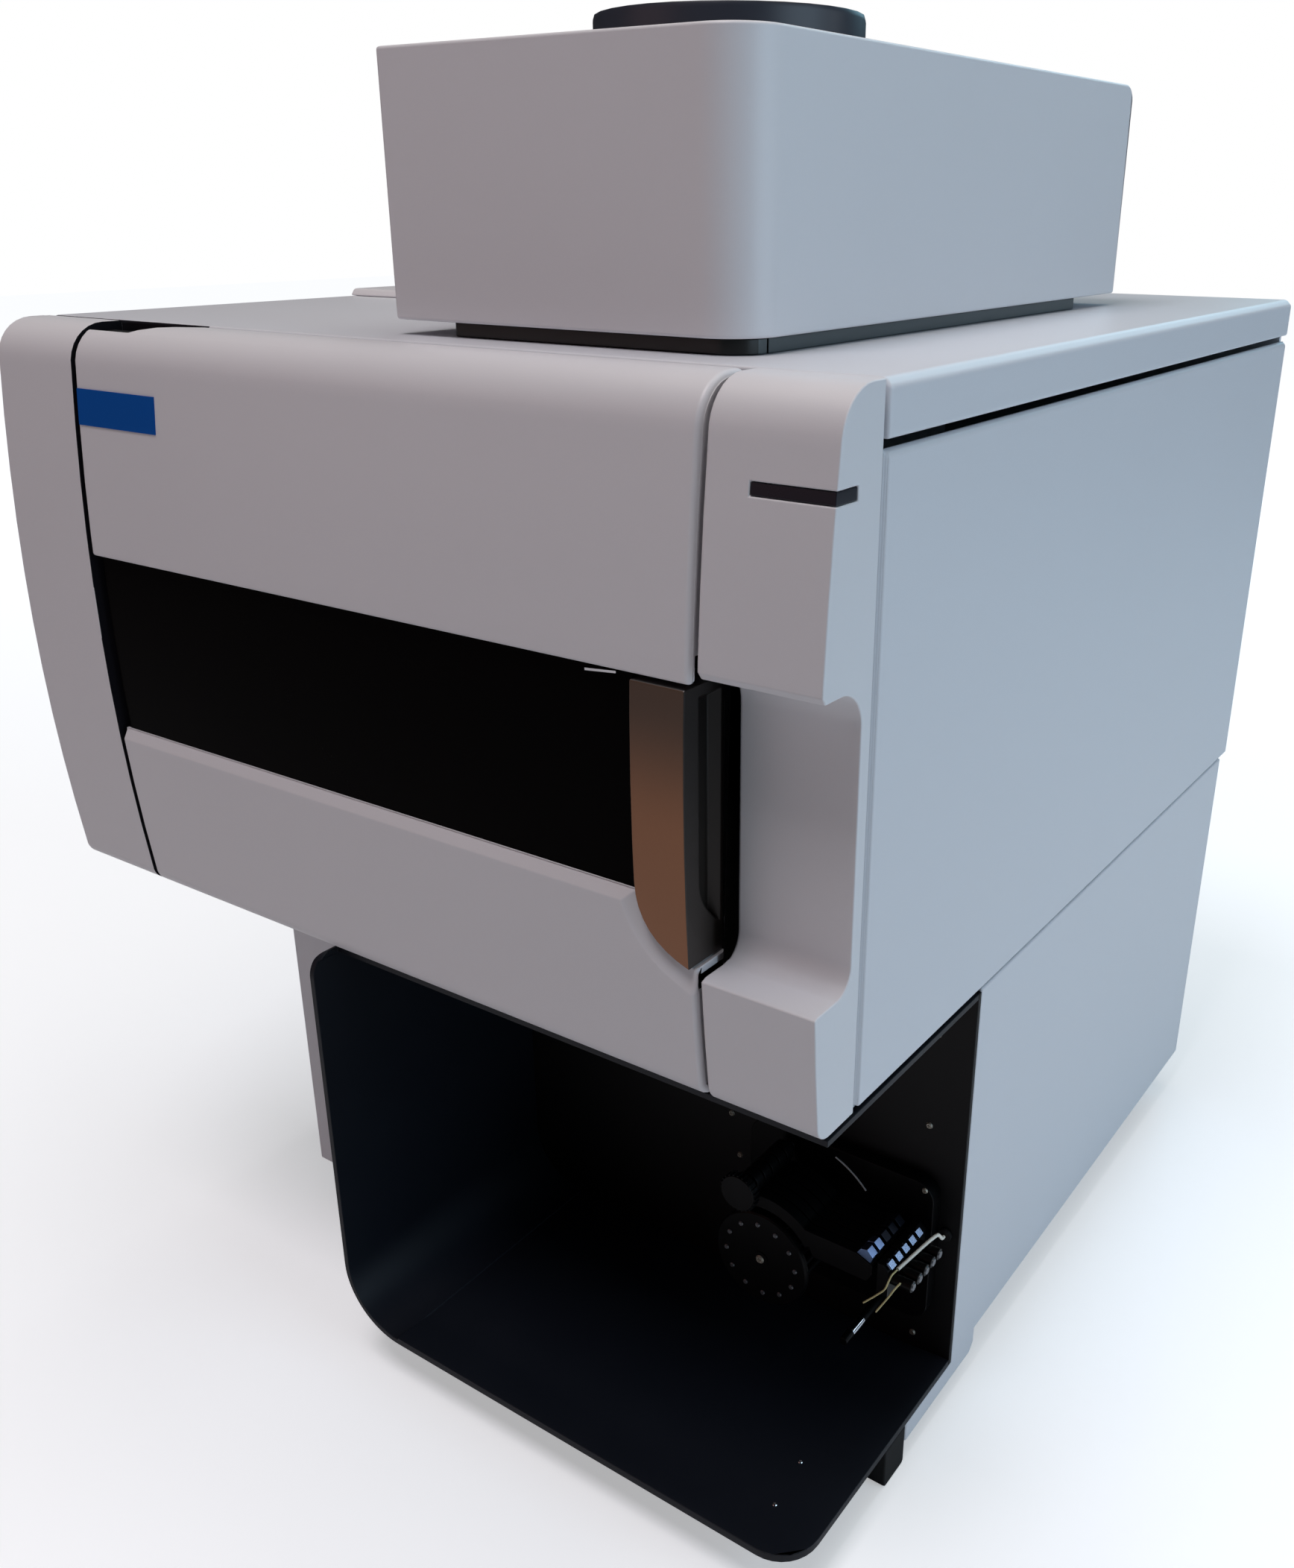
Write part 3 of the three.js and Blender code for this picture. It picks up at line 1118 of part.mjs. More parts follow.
// A white sleeve lies on the screws, and two thin capillaries hang free in front of the rail
const grommetRadius = 4.5;
const grommetLength = 2.5;
const grommetInset = 9.5;
const grommetRise = 24;
const sleeveRadius = 1.2;
const capillaryRadius = 0.6;
const tubeSides = 8;
const sleeveSteps = 10;
const capillarySteps = 11;
const grommetX = right - grommetInset;
const grommetZ = pumpZ + grommetRise;
place('tube_grommet', barY(bayWallFront - seat - grommetLength, bayWallFront - seat, grommetX, grommetZ,
  grommetRadius, smallSteps), rubberBlack);
const tubeAlong = (radius, route, steps) => {
  const section = new THREE.Shape();
  section.absarc(0, 0, radius, 0, Math.PI * 2);
  const extrudePath = new THREE.CatmullRomCurve3(route.map(([x, y, z]) => new THREE.Vector3(x, y, z)));
  return solid(new THREE.ExtrudeGeometry(section, {
    steps, curveSegments: tubeSides / 2, bevelEnabled: false, extrudePath }));
};
place('tube_sleeve', tubeAlong(sleeveRadius, [
  [303, -170, 141], [303, -172.6, 141.3], [302, -177, 146.5], [301.3, -182, 147.7], [296.3, -223, 147.7]],
sleeveSteps), tubeWhite);
place('capillary_long', tubeAlong(capillaryRadius, [
  [296.2, -223.9, 147.7], [295.7, -229.8, 147.5], [294.9, -232, 144], [292.8, -232.4, 137],
  [287.5, -233, 130], [278.7, -234, 120]], capillarySteps), tubeWhite);
place('capillary_short', tubeAlong(capillaryRadius, [
  [302.5, -230.85, 145.2], [299.5, -231.8, 140], [295.7, -232.6, 132], [288.1, -234, 117.3]],
capillarySteps), tubeWhite);

export default instrument;
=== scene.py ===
"""Looks of a bench-top plasma emission spectrometer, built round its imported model."""
import math

import bmesh
import bpy
from mathutils import Matrix, Vector


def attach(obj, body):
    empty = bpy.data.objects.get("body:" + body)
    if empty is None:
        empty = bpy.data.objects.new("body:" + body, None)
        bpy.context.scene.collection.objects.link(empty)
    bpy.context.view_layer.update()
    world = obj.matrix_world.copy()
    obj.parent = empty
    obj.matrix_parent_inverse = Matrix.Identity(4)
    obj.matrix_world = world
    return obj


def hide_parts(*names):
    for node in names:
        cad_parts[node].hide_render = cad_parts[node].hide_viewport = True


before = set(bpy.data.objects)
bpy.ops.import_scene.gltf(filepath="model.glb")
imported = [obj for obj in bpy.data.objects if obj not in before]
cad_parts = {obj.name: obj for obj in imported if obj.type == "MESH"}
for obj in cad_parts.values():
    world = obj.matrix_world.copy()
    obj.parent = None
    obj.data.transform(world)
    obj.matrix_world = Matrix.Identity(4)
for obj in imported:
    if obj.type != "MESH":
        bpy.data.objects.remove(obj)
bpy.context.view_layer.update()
MM = 0.001


# Camera
# It stands in front of the right corner and looks down on the instrument from a little above.
camera_place = Vector((0.6155, -0.8905, 0.7760))
camera_right = Vector((0.82324, 0.56768, 0.00218))
camera_up = Vector((-0.22060, 0.31636, 0.92263))
camera_data = bpy.data.cameras.new("camera")
camera_data.sensor_width = 36
camera_data.lens = 33.01
camera_data.shift_x = -0.0450
camera_data.shift_y = 0.0114
camera_data.clip_start = 0.01
camera = bpy.data.objects.new("camera", camera_data)
camera_back = camera_right.cross(camera_up)
camera.matrix_world = Matrix.Translation(camera_place) @ Matrix(
    (camera_right, camera_up, camera_back)).transposed().to_4x4()
bpy.context.scene.collection.objects.link(camera)
bpy.context.scene.camera = camera


# Sleeve and capillaries of the pump
# A white polymer sleeve lies on the adjusting screws and comes out of a rubber grommet in the
# back wall. Two thin capillaries come out at its front end and hang free, bent by hand.
def linear(red, green, blue):
    """A colour given as it shows on a screen, from 0 to 255, as the shader needs it."""
    shares = [value / 255 for value in (red, green, blue)]
    return (*[share / 12.92 if share <= 0.04045 else ((share + 0.055) / 1.055) ** 2.4
              for share in shares], 1.0)


def new_group(kind, name, inputs, outputs):
    """An empty node group of the kind asked for, with its named inputs and outputs."""
    tree = bpy.data.node_groups.new(name, kind)
    for label, socket_type, value in inputs:
        socket = tree.interface.new_socket(label, in_out="INPUT", socket_type=socket_type)
        if value is not None:
            socket.default_value = value
    for label, socket_type in outputs:
        tree.interface.new_socket(label, in_out="OUTPUT", socket_type=socket_type)
    given = tree.nodes.new("NodeGroupInput").outputs
    return tree, given, tree.nodes.new("NodeGroupOutput").inputs


def add(tree, kind, inputs=None, **settings):
    """Adds a node, with its inputs linked to sockets or set to values."""
    node = tree.nodes.new(kind)
    for setting, value in settings.items():
        setattr(node, setting, value)
    for label, value in (inputs or {}).items():
        if isinstance(value, bpy.types.NodeSocket):
            tree.links.new(value, node.inputs[label])
        else:
            node.inputs[label].default_value = value
    return node


def sums(tree, operation, *values):
    """The result of one step of arithmetic on sockets or numbers."""
    return add(tree, "ShaderNodeMath", dict(enumerate(values)), operation=operation).outputs[0]


mottle_share = 0.7
grain_share = 0.3


def moulded_grain():
    """Fine grain with slow changes of tone and gloss, for all that is moulded, painted or cast."""
    tree, given, result = new_group("ShaderNodeTree", "moulded_grain", [
        ("Color", "NodeSocketColor", (0.8, 0.8, 0.8, 1.0)),
        ("Roughness", "NodeSocketFloat", 0.5),
        ("Tone Spread", "NodeSocketFloat", 0.05),
        ("Gloss Spread", "NodeSocketFloat", 0.1),
        ("Grain Scale", "NodeSocketFloat", 900.0),
        ("Mottle Scale", "NodeSocketFloat", 9.0),
        ("Stretch", "NodeSocketVector", (1.0, 1.0, 1.0)),
    ], [("Color", "NodeSocketColor"), ("Roughness", "NodeSocketFloat"),
        ("Height", "NodeSocketFloat")])
    place = add(tree, "ShaderNodeTexCoord").outputs["Object"]
    stretched = add(tree, "ShaderNodeVectorMath", {0: place, 1: given["Stretch"]},
                    operation="MULTIPLY").outputs[0]
    grain = add(tree, "ShaderNodeTexNoise", {
        "Vector": stretched, "Scale": given["Grain Scale"], "Detail": 2.0}).outputs["Fac"]
    mottle = add(tree, "ShaderNodeTexNoise", {
        "Vector": stretched, "Scale": given["Mottle Scale"], "Detail": 4.0}).outputs["Fac"]
    blend = sums(tree, "MULTIPLY_ADD", mottle, mottle_share,
                 sums(tree, "MULTIPLY", grain, grain_share))
    signed = sums(tree, "SUBTRACT", blend, 0.5)
    spread = sums(tree, "MULTIPLY", given["Tone Spread"], 2.0)
    bright = sums(tree, "MULTIPLY_ADD", signed, spread, 1.0)
    toned = add(tree, "ShaderNodeVectorMath", {0: given["Color"], "Scale": bright},
                operation="SCALE")
    glossed = sums(tree, "MULTIPLY_ADD", signed, given["Gloss Spread"], given["Roughness"])
    tree.links.new(toned.outputs[0], result["Color"])
    tree.links.new(glossed, result["Roughness"])
    tree.links.new(grain, result["Height"])
    return tree


grain_group = moulded_grain()
coat_roughness = 0.1
bump_strength = 0.6


def finish(name, colour, roughness, metallic=0.0, tone=0.05, gloss=0.1, grain=900.0, mottle=9.0,
           stretch=(1.0, 1.0, 1.0), depth=0.02 * MM, coat=0.0, shine=0.5):
    """A material: one Principled shader behind the grain group."""
    material = bpy.data.materials.new(name)
    material.use_nodes = True
    tree = material.node_tree
    shader = tree.nodes["Principled BSDF"]
    for label, value in (("Metallic", metallic), ("Specular IOR Level", shine),
                         ("Coat Weight", coat), ("Coat Roughness", coat_roughness)):
        shader.inputs[label].default_value = value
    toned = add(tree, "ShaderNodeGroup", {
        "Color": colour, "Roughness": roughness, "Tone Spread": tone, "Gloss Spread": gloss,
        "Grain Scale": grain, "Mottle Scale": mottle, "Stretch": stretch}, node_tree=grain_group)
    bump = add(tree, "ShaderNodeBump", {
        "Height": toned.outputs["Height"], "Distance": depth, "Strength": bump_strength})
    tree.links.new(toned.outputs["Color"], shader.inputs["Base Color"])
    tree.links.new(toned.outputs["Roughness"], shader.inputs["Roughness"])
    tree.links.new(bump.outputs["Normal"], shader.inputs["Normal"])
    return material


tube_white = finish("tube_white", linear(255, 250, 238), 0.42, tone=0.06, grain=1500.0)
tube_cream = finish("tube_cream", linear(214, 205, 150), 0.38, tone=0.12, mottle=60.0)
sleeve_diameter = 2.4 * MM
capillary_diameter = 1.2 * MM
sleeve_route = [(303, -170, 141), (303, -172.6, 141.3), (302, -177, 146.5), (301.3, -182, 147.7),
                (296.3, -223, 147.7)]
capillary_long_route = [(296.2, -223.9, 147.7), (295.7, -229.8, 147.5), (294.9, -232, 144),
                        (292.8, -232.4, 137), (287.5, -233, 130), (278.7, -234, 120)]
capillary_short_route = [(302.5, -230.85, 145.2), (299.5, -231.8, 140), (295.7, -232.6, 132),
                         (288.1, -234, 117.3)]
route_steps = 20


def smooth_route(points):
    """The route in metres as one smooth curve, with its spans timed by the root of their length."""
    knots = [Vector(point) * MM for point in points]
    path = []
    for step in range(route_steps + 1):
        along = step / route_steps * (len(knots) - 1)
        span = min(int(along), len(knots) - 2)
        share = along - span
        start, end = knots[span], knots[span + 1]
        before = knots[span - 1] if span else start * 2 - end
        after = knots[span + 2] if span + 2 < len(knots) else end * 2 - start
        legs = ((before, start), (start, end), (end, after))
        times = [math.sqrt((b - a).length) for a, b in legs]
        leave = ((start - before) / times[0] - (end - before) / (times[0] + times[1])
                 + (end - start) / times[1]) * times[1]
        arrive = ((end - start) / times[1] - (after - start) / (times[1] + times[2])
                  + (after - end) / times[2]) * times[1]
        bend = (end - start) * 3 - leave * 2 - arrive
        settle = (start - end) * 2 + leave + arrive
        path.append(start + leave * share + bend * share ** 2 + settle * share ** 3)
    return path


def tube(name, points, diameter, material):
    """A round tube along a route, as a curve with closed ends."""
    data = bpy.data.curves.new(name, "CURVE")
    data.dimensions = "3D"
    data.bevel_depth = diameter / 2
    data.bevel_resolution = 4
    data.use_fill_caps = True
    path = smooth_route(points)
    spline = data.splines.new("POLY")
    spline.points.add(len(path) - 1)
    for knot, place in zip(spline.points, path):
        knot.co = (*place, 1.0)
    data.materials.append(material)
    piece = bpy.data.objects.new(name, data)
    bpy.context.scene.collection.objects.link(piece)
    return piece


sleeve = tube("white_sleeve", sleeve_route, sleeve_diameter, tube_white)
capillary_long = tube("long_capillary", capillary_long_route, capillary_diameter, tube_cream)
capillary_short = tube("short_capillary", capillary_short_route, capillary_diameter, tube_cream)
for piece, node in ((sleeve, "tube_sleeve"), (capillary_long, "capillary_long"),
                    (capillary_short, "capillary_short")):
    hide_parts(node)
    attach(piece, "base")


# Floor and studio light
# A plain pale floor runs out into a white background. Two soft lights hang overhead, one of them
# a little in front. A dim red one stands far in front, cool ones at the right and behind, and a
# small one gives the glints of the steel.
light_target = Vector((0, 0, 0.4))


def area_light(name, place, size, energy, colour):
    """A square soft light that looks at the middle of the instrument."""
    data = bpy.data.lights.new(name, "AREA")
    data.shape = "SQUARE"
    data.size = size
    data.energy = energy
    data.color = colour
    light = bpy.data.objects.new(name, data)
    light.location = place
    light.rotation_euler = (light_target - Vector(place)).to_track_quat("-Z", "Y").to_euler()
    bpy.context.scene.collection.objects.link(light)


area_light("overhead", (0.1, 0.2, 3.2), 2.6, 32, (1.0, 0.94, 0.86))
area_light("front_top", (0.0, -1.2, 3.4), 1.0, 31, (1.0, 0.93, 0.97))
area_light("front_left", (-1.8, -3.0, 1.6), 2.4, 7, (1.0, 0.52, 0.46))
area_light("right_side", (3.4, 0.2, 1.3), 2.4, 40, (0.63, 0.83, 1.0))
area_light("glint", (2.5, 1.9, 1.4), 0.5, 2.5, (0.8, 0.9, 1.0))
area_light("rear", (0.2, 3.2, 2.2), 1.6, 18, (0.40, 0.80, 1.0))
world = bpy.data.worlds.new("studio")
world.use_nodes = True
room = world.node_tree
room_fill = room.nodes["Background"]
room_fill.inputs["Color"].default_value = (0.85, 0.90, 1.0, 1.0)
room_fill.inputs["Strength"].default_value = 0.02
room_view = add(room, "ShaderNodeBackground", {"Color": (1.0, 1.0, 1.0, 1.0), "Strength": 1.0})
room_mix = add(room, "ShaderNodeMixShader", {
    0: add(room, "ShaderNodeLightPath").outputs["Is Camera Ray"],
    1: room_fill.outputs["Background"], 2: room_view.outputs["Background"]})
room.links.new(room_mix.outputs["Shader"], room.nodes["World Output"].inputs["Surface"])
bpy.context.scene.world = world
bpy.context.scene.view_settings.view_transform = "Standard"
floor_reach = 12.0
floor_near, floor_far = 0.5, 3.5
glow_near, glow_far = 0.42, 0.98
floor_mesh = bpy.data.meshes.new("floor")
floor_mesh.from_pydata([(x * floor_reach, y * floor_reach, 0)
                        for x, y in ((-1, -1), (1, -1), (1, 1), (-1, 1))], [], [(0, 1, 2, 3)])
floor_pale = finish("floor_pale", linear(244, 246, 249), 0.85, tone=0.01, depth=0.0)
floor_tree = floor_pale.node_tree
floor_distance = add(floor_tree, "ShaderNodeVectorMath", {
    0: add(floor_tree, "ShaderNodeTexCoord").outputs["Object"]}, operation="LENGTH")
floor_lift = add(floor_tree, "ShaderNodeMapRange", {
    "Value": floor_distance.outputs["Value"], "From Min": floor_near, "From Max": floor_far,
    "To Min": glow_near, "To Max": glow_far}).outputs[0]
floor_seen = sums(floor_tree, "MULTIPLY", floor_lift,
                  add(floor_tree, "ShaderNodeLightPath").outputs["Is Camera Ray"])
floor_shader = floor_tree.nodes["Principled BSDF"]
floor_shader.inputs["Emission Color"].default_value = (0.97, 0.985, 1.0, 1.0)
floor_tree.links.new(floor_seen, floor_shader.inputs["Emission Strength"])
floor_mesh.materials.append(floor_pale)
floor = bpy.data.objects.new("floor", floor_mesh)
bpy.context.scene.collection.objects.link(floor)


# Left and right front columns
# Each column is one injection moulding in white, finely grained plastic, clipped to the chassis.
# Its outer edges are rounded, and the right one is hollowed for the fingers that reach the handle.
# The left one's flank beside the door is painted black, a painted shade in the seam.
weld_distance = 0.003 * MM
flat_turn = math.radians(0.4)
edge_steps = 3


def softened(node, name, radius, turn=40.0, rounder=None, wide=0.0):
    """A welded copy of a node's mesh with its sharp edges rounded to a radius in metres.

    An edge gets the wide radius if it passes the test named rounder, which is given the edge's
    middle in millimetres and the sum of the normals of its two faces.
    """
    form = bmesh.new()
    form.from_mesh(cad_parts[node].data)
    bmesh.ops.remove_doubles(form, verts=form.verts, dist=weld_distance)
    bmesh.ops.dissolve_limit(form, angle_limit=flat_turn, verts=form.verts, edges=form.edges)
    widest = max(radius, wide)
    weights = form.edges.layers.float.new("bevel_weight_edge")
    for edge in form.edges:
        if widest and len(edge.link_faces) == 2 and edge.calc_face_angle() > math.radians(turn):
            middle = (edge.verts[0].co + edge.verts[1].co) / 2 / MM
            outward = edge.link_faces[0].normal + edge.link_faces[1].normal
            chosen = wide if rounder and rounder(middle, outward) else radius
            edge[weights] = chosen / widest
    return shaded(form, name, turn, widest)


def shaded(form, name, turn=40.0, widest=0.0):
    """Turns a finished form into a piece, smooth except at edges that turn past an angle."""
    for face in form.faces:
        face.smooth = True
    for edge in form.edges:
        edge.smooth = widest > 0 or (len(edge.link_faces) == 2
                                     and edge.calc_face_angle(0.0) < math.radians(turn))
    mesh = bpy.data.meshes.new(name)
    form.to_mesh(mesh)
    form.free()
    piece = bpy.data.objects.new(name, mesh)
    bpy.context.scene.collection.objects.link(piece)
    if widest:
        bevel = piece.modifiers.new("round_edges", "BEVEL")
        bevel.limit_method = "WEIGHT"
        bevel.width = widest
        bevel.segments = edge_steps
        bevel.use_clamp_overlap = False
        bevel.miter_outer = "MITER_SHARP"
    piece.modifiers.new("even_faces", "WEIGHTED_NORMAL").keep_sharp = True
    return piece


def fitted(piece, body, slot, material, *nodes):
    """Gives a finished piece its material, its body and the nodes that it stands for; the slot is
    not used.
    """
    piece.data.materials.clear()
    piece.data.materials.append(material)
    if nodes:
        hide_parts(*nodes)
    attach(piece, body)
    return piece


def clad(node, name, radius, slot, material, body="base", **rounding):
    """A softened copy of a node that stands for it, with its material and body; the slot is not
    used.
    """
    return fitted(softened(node, name, radius, **rounding), body, slot, material, node)


def flank(piece, material, test):
    """Gives faces a material by a test on their normal and their middle in millimetres."""
    piece.data.materials.append(material)
    for face in piece.data.polygons:
        if test(face.normal, face.center / MM):
            face.material_index = len(piece.data.materials) - 1


cover_white = finish("cover_white", linear(226, 226, 230), 0.40, tone=0.03, gloss=0.12,
                     grain=1400.0, mottle=5.0, depth=0.03 * MM)
# Painted shade: a black for faces of white mouldings that lie in shade beside the door.
painted_shade_black = finish("painted_shade_black", linear(12, 11, 20), 0.7, tone=0.1, shine=0.2)
lamp_grey = finish("lamp_grey", linear(30, 31, 40), 0.28, tone=0.15, grain=1800.0, mottle=40.0,
                   shine=0.3)
column_seams = (-232.5, 243.8)
near = 0.5
leans_forward = -0.2
faces_right = 0.9


def at_left_seam(place, outward):
    """The left column's edge along the door."""
    return abs(place.x - column_seams[0]) < near


def at_right_seam(place, outward):
    """The right column's front edge along the door."""
    return abs(place.x - column_seams[1]) < near and outward.y < leans_forward


left_column = clad("left_front_column", "left_column", 2.0 * MM, "white_paint", cover_white,
                   rounder=at_left_seam, wide=0.5 * MM)
# Painted shade: the left column's flank in the seam beside the door is painted black.
flank(left_column, painted_shade_black, lambda normal, middle: normal.x > faces_right
      and abs(middle.x - column_seams[0]) < near)
clad("right_front_column", "right_column", 0.8 * MM, "white_paint", cover_white, turn=25.0,
     rounder=at_right_seam, wide=2.2 * MM)
clad("status_lamp_lens", "lamp_lens", 0.5 * MM, "lamp_lens", lamp_grey)


# Top cover, its rear cap and the side panels
# The lid is a white moulding whose front at the left, behind the notch in the door, is painted
# black as painted shade. The cap on it covers the optics, and the side panels are folded sheet
# steel with a fine powder coat, hung on the chassis with a narrow gap all round.
def split(piece, axis, places):
    """Cuts the faces of a piece along planes across an axis, at places in millimetres."""
    form = bmesh.new()
    form.from_mesh(piece.data)
    for place in places:
        cut = Vector((0.0, 0.0, 0.0))
        cut["XYZ".index(axis)] = 1.0
        bmesh.ops.bisect_plane(form, geom=form.verts[:] + form.edges[:] + form.faces[:],
                               plane_co=cut * place * MM, plane_no=cut)
    form.to_mesh(piece.data)
    form.free()


panel_white = finish("panel_white", linear(222, 224, 230), 0.38, tone=0.025, gloss=0.14,
                     grain=700.0, mottle=3.0, depth=0.03 * MM)
lid_edge = 1.8 * MM
panel_edge = 1.6 * MM
notch_end = -150.0
faces_front = -0.9
lid = clad("top_cover", "lid", lid_edge, "white_paint", panel_white)
split(lid, "X", (notch_end,))
# Painted shade: the lid's front faces left of the notch end are painted black.
flank(lid, painted_shade_black,
      lambda normal, middle: normal.y < faces_front and middle.x < notch_end)
clad("rear_top_cap", "lid_cap", lid_edge, "white_paint", cover_white)
for side in ("right", "left"):
    for node, name in (("upper_side_panel", "side_panel"), ("lower_side_panel", "cabinet_panel")):
        clad(f"{node}_{side}", f"{name}_{side}", panel_edge, "white_paint", panel_white)
clad("lower_front_panel", "cabinet_front", panel_edge, "white_paint", panel_white)


# Exhaust housing on its plinth, with the duct collar
# A white moulded hood leads the hot air of the torch compartment up to the fume hose. It stands on
# a low dark plinth, whose right side is painted a lighter grey as painted light from the right, and
# the hose is pushed over the dark collar on its top.
plinth_dark = finish("plinth_dark", linear(16, 20, 20), 0.30, tone=0.12, gloss=0.15, mottle=14.0,
                     shine=0.35)
# Painted light: the plinth's right side gets a lighter grey than its dark front.
plinth_side_painted_light = finish("plinth_side_painted_light", linear(74, 84, 87), 0.34, tone=0.12, gloss=0.2, mottle=14.0,
                     shine=0.4)
collar_dark = finish("collar_dark", linear(46, 50, 60), 0.38, tone=0.10, grain=1200.0,
                     mottle=22.0)
square_to_right = 0.95
clad("exhaust_housing", "exhaust_hood", 1.8 * MM, "white_paint", cover_white)
plinth = clad("exhaust_plinth", "hood_plinth", 0.6 * MM, "dark_grey", plinth_dark)
# Painted light: the faces turned to the right take the lighter grey.
flank(plinth, plinth_side_painted_light, lambda normal, middle: normal.x > square_to_right)
clad("exhaust_collar", "duct_collar", 0.5 * MM, "dark_grey", collar_dark)


# Door covers and window
# Two white mouldings above and below a dark tinted polycarbonate pane. They follow the same
# shallow bow as the columns, and the lower one has a sloping rim round the handle. A blank blue
# plate is stuck on at the top left, and a small bright clip holds the pane at its top right.
door_edge_right = 240.3
rounded_top = 690.0
leans_up = 0.5


def at_door_edge(place, outward):
    """A door cover's front edge along the right column, and its end over the rounded top."""
    over_the_top = outward.z > leans_up and place.z > rounded_top
    return abs(place.x - door_edge_right) < near and (outward.y < leans_forward or over_the_top)


clad("door_upper_cover", "door_cover_upper", 1.8 * MM, "white_paint", cover_white, "door",
     turn=20.0, rounder=at_door_edge, wide=4.0 * MM)
clad("door_lower_cover", "door_cover_lower", 0.7 * MM, "white_paint", cover_white, "door",
     turn=16.0, rounder=at_door_edge, wide=3.0 * MM)
window_black = finish("window_black", (0.0018, 0.0014, 0.0014, 1.0), 0.16, tone=0.3, gloss=0.08,
                      grain=300.0, mottle=7.0, depth=0.0, shine=0.015)
clad("door_window", "window_pane", 0.5 * MM, "dark_window", window_black, "door")
door_front = -370.0
bow_middle = 511.0
bow_sag = 10.0
bow_half = 169.0


def bow(height):
    """How far forward the bowed front stands at a height, in millimetres."""
    return door_front + bow_sag * ((height - bow_middle) / bow_half) ** 2


def extruded(profile, low, high, axis="Y"):
    """A closed form: a profile of pairs in millimetres, pulled between two places on an axis."""
    lifts = {"X": lambda pair, at: (at, pair[0], pair[1]),
             "Y": lambda pair, at: (pair[0], at, pair[1])}
    form = bmesh.new()
    ends = [[form.verts.new(Vector(lifts[axis](pair, at)) * MM) for pair in profile]
            for at in (low, high)]
    form.faces.new(ends[0])
    form.faces.new(ends[1])
    for index in range(len(profile)):
        after = (index + 1) % len(profile)
        form.faces.new((ends[0][index], ends[0][after], ends[1][after], ends[1][index]))
    bmesh.ops.recalc_face_normals(form, faces=form.faces)
    return form


plate_blue = finish("plate_blue", (0.001, 0.085, 0.38, 1.0), 0.45, mottle=30.0, depth=0.0,
                    shine=0.1)
plate_left, plate_right = -227.6, -151.5
plate_foot = 647.3
plate_height = 21.6
plate_steps = 6
plate_proud = 0.5
plate_let_in = 0.3
plate_line = [plate_foot + plate_height * step / plate_steps for step in range(plate_steps + 1)]
plate_profile = ([(bow(height) - plate_proud, height) for height in plate_line]
                 + [(bow(height) + plate_let_in, height) for height in reversed(plate_line)])
fitted(shaded(extruded(plate_profile, plate_left, plate_right, "X"), "door_plate"), "door",
       "white_paint", plate_blue)
clip_bright = finish("clip_bright", linear(225, 228, 232), 0.22, metallic=1.0, mottle=60.0)
clip_profile = [(174.3, 561.4), (194.0, 563.3), (194.0, 564.5), (174.3, 562.7)]
clip_front, clip_rear = -365.9, -364.0
fitted(shaded(extruded(clip_profile, clip_front, clip_rear), "pane_clip"), "door", "bare_steel",
       clip_bright)


# Handle
# A die cast grip with a bronze satin front, a bright milled top and a dark painted hollow on the
# side where the fingers take hold. The front and the hollow are painted darker towards the top as
# painted shade, and the bright top is partly a painted highlight of its lit edge. Two screws hold
# it to the door frame from behind.
def painted_shade_by_height(material, low_colour, high_colour, low, high):
    """Paints shade into a material: its colour changes with height, between two heights in metres.
    """
    tree = material.node_tree
    place = add(tree, "ShaderNodeSeparateXYZ", {
        0: add(tree, "ShaderNodeTexCoord").outputs["Object"]})
    fade = add(tree, "ShaderNodeMapRange", {
        "Value": place.outputs["Z"], "From Min": low, "From Max": high, "To Min": 0.0,
        "To Max": 1.0}, interpolation_type="SMOOTHSTEP").outputs[0]
    mix = add(tree, "ShaderNodeMix", {"Factor": fade, 6: low_colour, 7: high_colour},
              data_type="RGBA")
    grain_node = next(node for node in tree.nodes if node.bl_idname == "ShaderNodeGroup")
    tree.links.new(mix.outputs[2], grain_node.inputs["Color"])


bronze_pale = linear(146, 102, 73)
handle_bronze_painted_shade = finish("handle_bronze_painted_shade", bronze_pale, 0.42, metallic=0.45, tone=0.12, gloss=0.12,
                       grain=1600.0, mottle=12.0, stretch=(1.0, 1.0, 0.35), depth=0.03 * MM)
# Painted shade: the bronze front darkens towards its top, painted shade and reflection.
painted_shade_by_height(handle_bronze_painted_shade, bronze_pale, linear(88, 70, 58), 0.485, 0.555)
hollow_grey = linear(62, 56, 52)
handle_grey_painted_shade = finish("handle_grey_painted_shade", hollow_grey, 0.44, metallic=0.3, tone=0.12, grain=1500.0)
# Painted shade: the hollow darkens towards its top, painted shade from the cover above.
painted_shade_by_height(handle_grey_painted_shade, hollow_grey, linear(27, 24, 22), 0.41, 0.56)
# The upward faces take a bright metal: a milled top, partly a painted highlight of the lit top
# edge.
handle_milled_and_highlight = finish("handle_milled_and_highlight", linear(150, 148, 146), 0.30, metallic=0.8, tone=0.08,
                       grain=1500.0)
grip_top = 560.0
faces_up = 0.8
faces_out = -0.6
front_skin = 1.5
handle = clad("door_handle", "grip", 0.8 * MM, "bronze_trim", handle_bronze_painted_shade, "door", turn=30.0)
handle.data.materials.append(handle_grey_painted_shade)
handle.data.materials.append(handle_milled_and_highlight)
for face in handle.data.polygons:
    middle = face.center / MM
    if face.normal.z > faces_up and middle.z > grip_top:
        face.material_index = 2
    elif face.normal.y > faces_out or middle.y > bow(middle.z) + front_skin:
        face.material_index = 1


